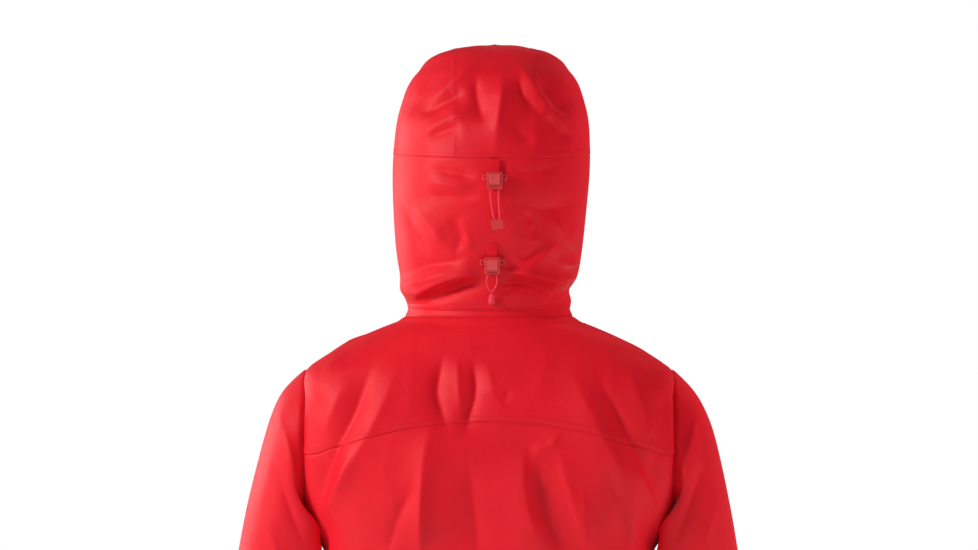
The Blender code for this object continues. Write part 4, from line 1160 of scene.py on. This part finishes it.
# ---- sleeves ------------------------------------------------------------------------
def drape_sleeve(p, turn, section):
    """Folds of a sleeve: it hangs from the shoulder and bends at the elbow."""
    around = turn_of(turn)
    inner = 0.5 + 0.5 * np.cos(around - math.pi)
    front = 0.5 + 0.5 * np.cos(around - 1.5 * math.pi)
    wave = 0.05 * np.stack((np.cos(around), np.sin(around), section), -1)
    level_folds = noise(wave, (0.080, 0.080, 0.017))
    crisp = (1 - np.abs(noise(wave + 3.3, (0.075, 0.075, 0.024)))) ** 4
    elbow = hump(section, ELBOW, 1.3, 0.35 + 0.65 * front)
    rings = noise(wave + 6.1, (0.08, 0.08, 0.014))
    armpit = hump(section, 4.6, 1.5, inner)
    out = 0.0026 * noise(p + 8.8, (0.045, 0.045, 0.13))
    out = out + elbow * (0.0040 * level_folds + 0.0036 * crisp)
    out = out + smooth(section, 10.2, 11.8) * 0.0024 * rings
    out = out + armpit * 0.0045 * noise(wave + 9.4, (0.022, 0.022, 0.06))
    return out * smooth(section, 1.5, 3.4)


SLEEVE_FOLDS = (
    (((236, -96), (222, -150), (206, -214)), 3.0, 7, 5),
    (((246, -150), (226, -206), (204, -260)), -3.4, 7, 7),
    (((258, -190), (240, -250), (222, -320)), 2.6, 8, 7),
)
SLEEVE_COLUMNS, SLEEVE_ROWS = 190, 250
BODY_CLEAR_X = 0.1852  # nothing of a sleeve reaches further in, towards the body's side


def sleeve_rows():
    """The sections of a sleeve's rows, evenly spaced along it, and the seams' rows."""
    fine = np.linspace(0, len(SLEEVE_SECTIONS) - 1, 400)
    run = run_along(sleeve(np.zeros(400), fine))
    section = np.interp(np.linspace(0, run[-1], SLEEVE_ROWS), run, fine)
    elbow, cuff = (int(np.argmin(np.abs(section - seam))) for seam in (ELBOW, CUFF_TOP))
    section[elbow], section[cuff] = ELBOW, CUFF_TOP
    return section, elbow, cuff


def build_sleeve(side, base, n, turn, section, elbow, cuff):
    """One sleeve. Both are made on the left and the right one is turned over."""
    mirror = side == "right"
    out = drape_sleeve(base + (0.37 if mirror else 0.0), turn, section)
    rear = smooth(base[..., 1], 0.02, 0.06) * smooth(section, 1.8, 3.0)
    out = out + rear * fold_field(*seen(base), SLEEVE_FOLDS)
    out = out * (1 - smooth(section, 12.1, CUFF_TOP))
    way = arc(base, 1)
    for at in (elbow, cuff):
        out = out + seam_groove(way - way[:, at : at + 1])
    # The cuff is two layers thick.
    out = out + 0.0008 * smooth(section, CUFF_TOP, CUFF_TOP + 0.03)
    p = base + n * out[..., None]
    # The sleeve's head stays within its own curve.
    p[..., 0] = np.maximum(p[..., 0], np.where(section > 2.6, BODY_CLEAR_X, base[..., 0] - 0.0002))
    spans = (
        ("upper_sleeve", slice(0, elbow + 1)),
        ("forearm_sleeve", slice(elbow, cuff + 1)),
        ("cuff_band", slice(cuff, None)),
    )
    for name, j in spans:
        names = f"{name}_cloth_{side}", [f"{name}_{side}"]
        how = {"closed": True, "mirror": mirror}
        sewn_piece(*names, p[:, j], (SHELL, LINING), f"sleeve_{side}", "shell_fabric", **how)
    flip = np.array((-1 if mirror else 1, 1, 1))
    p, n = p * flip, normals_of(p, closed=True) * flip
    round_turn = np.append(np.arange(SLEEVE_COLUMNS), 0)
    lines = [(p[round_turn, j], n[round_turn, j]) for j in (elbow + 1, elbow + 3, cuff + 1, cuff + 3, -3)]
    under_arm = SLEEVE_COLUMNS // 2, slice(40, -2)
    lines.append((p[under_arm], n[under_arm]))
    stitch_mesh(f"stitching_sleeve_{side}", lines, f"sleeve_{side}")


def build_sleeves():
    section, elbow, cuff = sleeve_rows()
    turn = -np.linspace(0, 2 * math.pi, SLEEVE_COLUMNS, endpoint=False)[:, None]
    turn, section = np.broadcast_arrays(turn, section[None, :])
    base = sleeve(turn, section)
    n = normals_of(base, closed=True)
    for side in SIDES:
        build_sleeve(side, base, n, turn, section, elbow, cuff)


TAB_START, TAB_END = CUFF_TOP + 0.06, CUFF_TOP + 0.62


def tab_points():
    """A moulded strap with a rounded free end and with ribs at its grip."""
    i, j = unit_grid(110, 26)
    turn = math.radians(112) - math.radians(150) * i
    narrow = 1 - 0.55 * smooth(i, 0.93, 1.0) ** 2
    section = (TAB_START + TAB_END) / 2 + (TAB_END - TAB_START) * (j - 0.5) * narrow
    p = sleeve(turn, section, 0.0025)
    from_side = np.minimum(j, 1 - j)
    rib = 0.5 + 0.5 * np.cos((i - 0.78) * 2 * math.pi / 0.032)
    grip = smooth(i, 0.74, 0.78) * (1 - smooth(i, 0.93, 0.96)) * smooth(from_side, 0.10, 0.2)
    rim = 1 - smooth(from_side, 0.0, 0.10)
    return p + normals_of(p) * (0.0006 * rib * grip + 0.0004 * rim)[..., None]


def patch_points():
    """The patch of hook tape that holds a tab."""
    i, j = unit_grid(110, 26)
    p = sleeve(math.radians(-44) - math.radians(34) * i, TAB_START + (TAB_END - TAB_START) * j, 0.0018)
    return p + normals_of(p) * (0.00025 * noise(p, 0.0016))[..., None]


def build_tabs():
    for side in SIDES:
        mirror = side == "right"
        names = f"cuff_tab_moulded_{side}", [f"cuff_tab_{side}"]
        how = {"thick": 0.0016, "mirror": mirror}
        sewn_piece(*names, tab_points(), (RUBBER, RUBBER), f"tab_{side}", "trim", **how)
        names = f"cuff_patch_{side}", [f"cuff_loop_patch_{side}"]
        how = {"thick": 0.0009, "mirror": mirror}
        sewn_piece(*names, patch_points(), (HOOKS, HOOKS), f"sleeve_{side}", "trim", **how)


build_sleeves()
build_tabs()


# ---- zips, pocket bags, hanger loop --------------------------------------------------
ZIP_FOOT, ZIP_TOP = 0.0192, 0.764
TAPE_WIDTH = 0.0140
CHAIN_GAP = 0.0014
TOOTH_PITCH = 0.0024


def frame_points(place, across, out, along):
    """Points in a frame with X across, -Y outwards and Z along, as a grid."""
    local = np.stack(np.broadcast_arrays(across, -np.asarray(out), along), -1)
    return local @ np.array(place.to_3x3()).T + np.array(place.translation)


def front_place(z):
    """A matrix on the front's middle line at a level, with Z along the line."""
    turn = Matrix.Rotation(-math.atan(FRONT_LEAN), 4, "X")
    return Matrix.Translation((0, float(front_line_y(z)), z)) @ turn


def main_zip_tape(along):
    """Places across a tape of the zip and how far out they stand: teeth, grooves, an edge."""
    share = np.array((0, 3, 7, 12, 17, 20, 23, 28, 45, 60, 75, 86, 92, 96, 100))[:, None] / 100
    from_chain = share * TAPE_WIDTH
    chain = 1 - smooth(from_chain, 0.0020, 0.0027)
    out = -0.0008 + chain * 0.00030 * np.cos(2 * math.pi * along / TOOTH_PITCH)
    out = out - hump(from_chain, 0.0031, 0.0004, 0.0004) - 0.0006 * smooth(share, 0.95, 1.0)
    return from_chain, out - hump(from_chain, 0.0118, 0.0004, 0.00025)


def build_main_zip():
    place = front_place((ZIP_FOOT + ZIP_TOP) / 2)
    half = (ZIP_TOP - ZIP_FOOT) / 2 * math.hypot(1, FRONT_LEAN)
    along = np.linspace(-half, half, 1240)[None, :]
    from_chain, out = main_zip_tape(along)
    tape = frame_points(place, CHAIN_GAP / 2 + from_chain, out, along)
    for side in SIDES:
        names = f"zip_tape_woven_{side}", [f"zip_tape_{side}"]
        how = {"thick": 0.0012, "mirror": side == "right"}
        sewn_piece(*names, tape, (ZIP_TAPE, ZIP_TAPE), "jacket", "zip_tape", **how)
    across = np.linspace(-0.020, 0.020, 26)[:, None]
    along = np.linspace(-half + 0.006, half - 0.006, 320)[None, :]
    ripple = noise(np.stack(np.broadcast_arrays(across, 0, along), -1), (0.02, 1, 0.05))
    out = -0.0070 + 0.0003 * ripple - 0.0004 * smooth(np.abs(across), 0.0175, 0.020)
    flap = frame_points(place, across, out, along)
    names = "storm_flap_cloth", ["zip_storm_flap"]
    sewn_piece(*names, flap, (LINING, LINING), "jacket", "lining_fabric", thick=0.0008)


def surface_point(x, z):
    """The point of the left front panel at an x and a level."""
    angle = -math.pi / 3
    for _ in range(12):
        p = body(np.array(angle), np.array(z))
        angle += (x - p[0]) / math.hypot(p[0], p[1] - BODY_Y)
    return Vector(body(np.array(angle), np.array(z))), angle


def pocket_place():
    """A matrix at the middle of the left hand pocket's zip, and the zip's length."""
    foot, _ = surface_point(*POCKET_FOOT)
    top, angle = surface_point(*POCKET_TOP)
    level = np.array(POCKET_TOP[1])
    near = Vector(body(np.array(angle + 0.05), level)) - Vector(body(np.array(angle - 0.05), level))
    up = (top - foot).normalized()
    normal = near.cross(up).normalized()
    across = up.cross(normal).normalized()
    turn = Matrix((across, -normal, up)).transposed().to_4x4()
    return Matrix.Translation(foot.lerp(top, 0.5)) @ turn, (top - foot).length


def pocket_strip():
    """The strip of a hand pocket's zip: a chain between two woven edges."""
    place, length = pocket_place()
    across = np.linspace(-0.0065, 0.0065, 41)[:, None]
    along = np.linspace(-length / 2, length / 2, 420)[None, :]
    away = np.abs(across)
    out = 0.0036 - 0.0020 * smooth(away, 0.0050, 0.0065) - hump(away, 0, 0.00045, 0.0005)
    chain = 1 - smooth(away, 0.0016, 0.0024)
    out = out + 0.00012 * chain * np.cos(2 * math.pi * along / TOOTH_PITCH)
    return frame_points(place, across, out - hump(away, 0.0046, 0.0004, 0.0003), along)


def pocket_bag():
    """The bag behind a hand pocket, inside the front panel."""
    level = np.tile(np.linspace(0.195, 0.430, 70), (50, 1))
    start = edge_angle(body, level) + 0.20
    bag = body(start + (-0.74 - start) * np.linspace(0, 1, 50)[:, None], level)
    return bag - normals_of(bag) * (0.0056 + 0.0004 * noise(bag, 0.03))[..., None]


def build_pockets():
    strip, bag = pocket_strip(), pocket_bag()
    for side in SIDES:
        how = {"thick": 0.0012, "mirror": side == "right"}
        names = f"pocket_zip_woven_{side}", [f"pocket_zip_{side}"]
        sewn_piece(*names, strip, (ZIP_TAPE, ZIP_TAPE), "jacket", "zip_tape", **how)
        names = f"pocket_bag_cloth_{side}", [f"pocket_bag_{side}"]
        sewn_piece(*names, bag, (LINING, LINING), "jacket", "lining_fabric", **how)


def build_hanger():
    across, share = np.meshgrid(np.linspace(1, -1, 70), np.linspace(0, 1, 12), indexing="ij")
    bow = 0.0103 + 0.008 * (1 - across**2) + 0.0001 * np.cos(across * 32 * 2 * math.pi)
    p = np.stack((0.032 * across, COLLAR_BACK_Y - bow, 0.7395 + 0.008 * share), -1)
    names = "hanger_loop_webbing", ["hanger_loop"]
    sewn_piece(*names, p, (WEBBING, WEBBING), "jacket", "webbing", thick=0.0011)


build_main_zip()
build_pockets()
build_hanger()


# ---- hardware -----------------------------------------------------------------------
def finish_nodes(names, material):
    """Gives the frame's own solids a better material."""
    for name in names:
        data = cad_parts[name].data
        data.materials.clear()
        data.materials.append(material)


LOCKS = ("upper", "lower", "hem_left", "hem_right")
SLIDERS = ("main_zip_slider", "main_zip_pull", "zip_base", "pocket_slider_left", "pocket_slider_right")
finish_nodes([f"{lock}_lock_housing" for lock in LOCKS], LOCK)
finish_nodes([f"{lock}_lock_button" for lock in LOCKS], BUTTON)
finish_nodes(SLIDERS + ("pocket_pull_left", "pocket_pull_right"), METAL)
finish_nodes(["lower_cord_knot"], CORD)
finish_nodes(["upper_cord_pull"], LOCK)

LOCK_HALF = 0.0095
UPPER_LOCK = Matrix.Translation((-0.0060, 0.147723, 0.8885))
LOWER_LOCK = Matrix.Translation((-0.0035, 0.129301, 0.796968)) @ Matrix.Rotation(math.radians(-14), 4, "X")
HEM_NORMAL = Vector((0.808156, -0.584822, 0.069765))
HEM_UP = Vector((-0.056518, 0.040900, 0.997564))
HEM_TURN = Matrix((HEM_NORMAL.cross(HEM_UP), HEM_NORMAL, HEM_UP)).transposed().to_4x4()
HEM_LOCK = Matrix.Translation(HEM_LOCK_PLACE) @ HEM_TURN
CORD_RADIUS = 0.001


def cord_curve(name, lock, route, body_name, mirror=False):
    """A braided cord out of a lock, along points in the lock's own frame."""
    route = np.array(route)
    knots = np.arange(len(route), dtype=float)
    t = np.linspace(0, len(route) - 1, 70)
    smoothed = np.stack([through(t, knots, route[:, k]) for k in range(3)], -1)
    points = [lock @ Vector(p) for p in smoothed]
    if mirror:
        points = [Vector((-p.x, p.y, p.z)) for p in points]
    curve = bpy.data.curves.new(name, "CURVE")
    curve.dimensions = "3D"
    spline = curve.splines.new("POLY")
    spline.points.add(len(points) - 1)
    for at, p in zip(spline.points, points):
        at.co = (*p, 1)
    curve.bevel_depth = CORD_RADIUS
    curve.bevel_resolution = 4
    curve.use_fill_caps = True
    curve.materials.append(CORD)
    obj = bpy.data.objects.new(name, curve)
    bpy.context.scene.collection.objects.link(obj)
    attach(obj, body_name)
    return obj


def cord_routes():
    """Routes in a lock's frame. The real cords hang a little unevenly."""
    foot, y = -LOCK_HALF - 0.0004, 0.0030
    upper = (
        (0.0046, y, foot),
        (0.0045, y, foot - 0.006),
        (0.0036, y, foot - 0.016),
        (0.0018, y, foot - 0.026),
        (-0.0004, y, foot - 0.0335),
        (-0.0018, y, foot - 0.0375),
        (-0.0038, y, foot - 0.0390),
        (-0.0058, y, foot - 0.0370),
        (-0.0058, y, foot - 0.0330),
        (-0.0054, y, foot - 0.026),
        (-0.0046, y, foot - 0.016),
        (-0.0044, y, foot - 0.006),
        (-0.0044, y, foot),
    )
    lower = (
        (0.0040, y, foot),
        (0.0056, y, foot - 0.004),
        (0.0062, y, foot - 0.009),
        (0.0048, y, foot - 0.0145),
        (0.0026, y, foot - 0.0180),
        (0.0008, y, foot - 0.0192),
        (-0.0010, y, foot - 0.0180),
        (-0.0036, y, foot - 0.0145),
        (-0.0052, y, foot - 0.009),
        (-0.0050, y, foot - 0.004),
        (-0.0040, y, foot),
    )
    foot, y = -0.85 * LOCK_HALF - 0.0004, 0.0027
    hem = (
        (0.0040, y, foot),
        (0.0042, y, foot - 0.006),
        (0.0046, y, foot - 0.014),
        (0.0034, y, foot - 0.0225),
        (0.0000, y, foot - 0.0260),
        (-0.0034, y, foot - 0.0225),
        (-0.0046, y, foot - 0.014),
        (-0.0042, y, foot - 0.006),
        (-0.0040, y, foot),
    )
    return upper, lower, hem


def build_cords():
    upper, lower, hem = cord_routes()
    cord = cord_curve("upper_cord_braid", UPPER_LOCK, upper, "hood")
    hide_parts("upper_cord")
    cord = cord_curve("lower_cord_braid", LOWER_LOCK, lower, "hood")
    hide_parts("lower_cord")
    for side in SIDES:
        cord = cord_curve(f"hem_cord_braid_{side}", HEM_LOCK, hem, "jacket", mirror=side == "right")
        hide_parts(f"hem_cord_{side}")


build_cords()


def build_webbing():
    """The woven tabs that carry the hood's locks: sewn down above, through the lock below."""
    i, j = np.meshgrid(np.linspace(-1, 1, 24), np.linspace(0, 1, 34), indexing="ij")
    y = 0.0016 - 0.0011 * smooth(j, 0.0, 0.6)
    y = y + 0.00030 * np.cos(i * math.pi * 0.5) + 0.00012 * np.cos(j * 2 * math.pi * 12)
    # The upper end is sewn flat, in a bar of thread.
    y = y - 0.0003 * smooth(j, 0.84, 0.88)
    p = np.stack((-0.0056 * i, y, LOCK_HALF + 0.0002 + 0.0136 * j), -1)
    for name, lock in (("upper", UPPER_LOCK), ("lower", LOWER_LOCK)):
        placed = p @ np.array(lock.to_3x3()).T + np.array(lock.translation)
        names = f"{name}_tab_webbing", [f"{name}_webbing_tab"]
        sewn_piece(*names, placed, (WEBBING, WEBBING), "hood", "webbing", thick=0.0011)


build_webbing()


# ---- studio -------------------------------------------------------------------------
def build_floor():
    floor = bpy.data.meshes.new("floor")
    bm = bmesh.new()
    bmesh.ops.create_circle(bm, cap_ends=True, segments=96, radius=2.4)
    bm.to_mesh(floor)
    bm.free()
    paper = Nodes("pale_floor")
    paper.shader.inputs["Base Color"].default_value = (0.86, 0.86, 0.86, 1)
    paper.shader.inputs["Roughness"].default_value = 0.8
    floor.materials.append(paper.material)
    obj = bpy.data.objects.new("floor", floor)
    obj.location.z = -0.0006
    bpy.context.scene.collection.objects.link(obj)


def build_world():
    """White as the camera sees it, but dim as a light and dimmer as a reflection."""
    world = bpy.data.worlds.new("studio")
    bpy.context.scene.world = world
    world.use_nodes = True
    nodes, links = world.node_tree.nodes, world.node_tree.links
    rays = nodes.new("ShaderNodeLightPath")
    surface = nodes["Background"].outputs[0]
    nodes["Background"].inputs["Color"].default_value = (1, 1, 1, 1)
    nodes["Background"].inputs["Strength"].default_value = 0.15
    for ray, strength in (("Is Glossy Ray", 0.05), ("Is Camera Ray", 1.0)):
        other = nodes.new("ShaderNodeBackground")
        other.inputs["Color"].default_value = (1, 1, 1, 1)
        other.inputs["Strength"].default_value = strength
        mix = nodes.new("ShaderNodeMixShader")
        links.new(rays.outputs[ray], mix.inputs["Fac"])
        links.new(surface, mix.inputs[1])
        links.new(other.outputs[0], mix.inputs[2])
        surface = mix.outputs[0]
    links.new(surface, nodes["World Output"].inputs["Surface"])


def area_light(name, place, target, size, power, shines=True):
    light = bpy.data.lights.new(name, "AREA")
    light.shape = "DISK"
    light.size = size
    light.energy = power
    lamp = bpy.data.objects.new(name, light)
    lamp.location = place
    lamp.visible_glossy = shines
    lamp.rotation_euler = (Vector(target) - Vector(place)).to_track_quat("-Z", "Y").to_euler()
    bpy.context.scene.collection.objects.link(lamp)


def build_camera():
    camera = bpy.data.cameras.new("camera")
    camera.sensor_width = 36
    camera.lens = camera.sensor_width * CAMERA_AWAY / PICTURE_WIDTH
    obj = bpy.data.objects.new("camera", camera)
    obj.location = (0.0, CAMERA_Y, CAMERA_Z)
    obj.rotation_euler = (math.pi / 2, 0, math.pi)
    bpy.context.scene.collection.objects.link(obj)
    bpy.context.scene.camera = obj
    bpy.context.scene.view_settings.view_transform = "Standard"


build_floor()
build_world()
BACK, FRONT = (0, 0.05, 0.75), (0, -0.05, 0.7)
area_light("key", (3.0, 1.6, 2.1), BACK, 0.8, 113)
area_light("fill", (-0.4, 3.4, 1.2), BACK, 1.6, 18, shines=False)
area_light("rim", (-2.9, 0.4, 1.4), BACK, 1.2, 34, shines=False)
area_light("front_key", (-1.8, -2.6, 2.3), FRONT, 1.4, 75, shines=False)
area_light("front_fill", (2.4, -2.0, 1.0), FRONT, 1.8, 30)
build_camera()
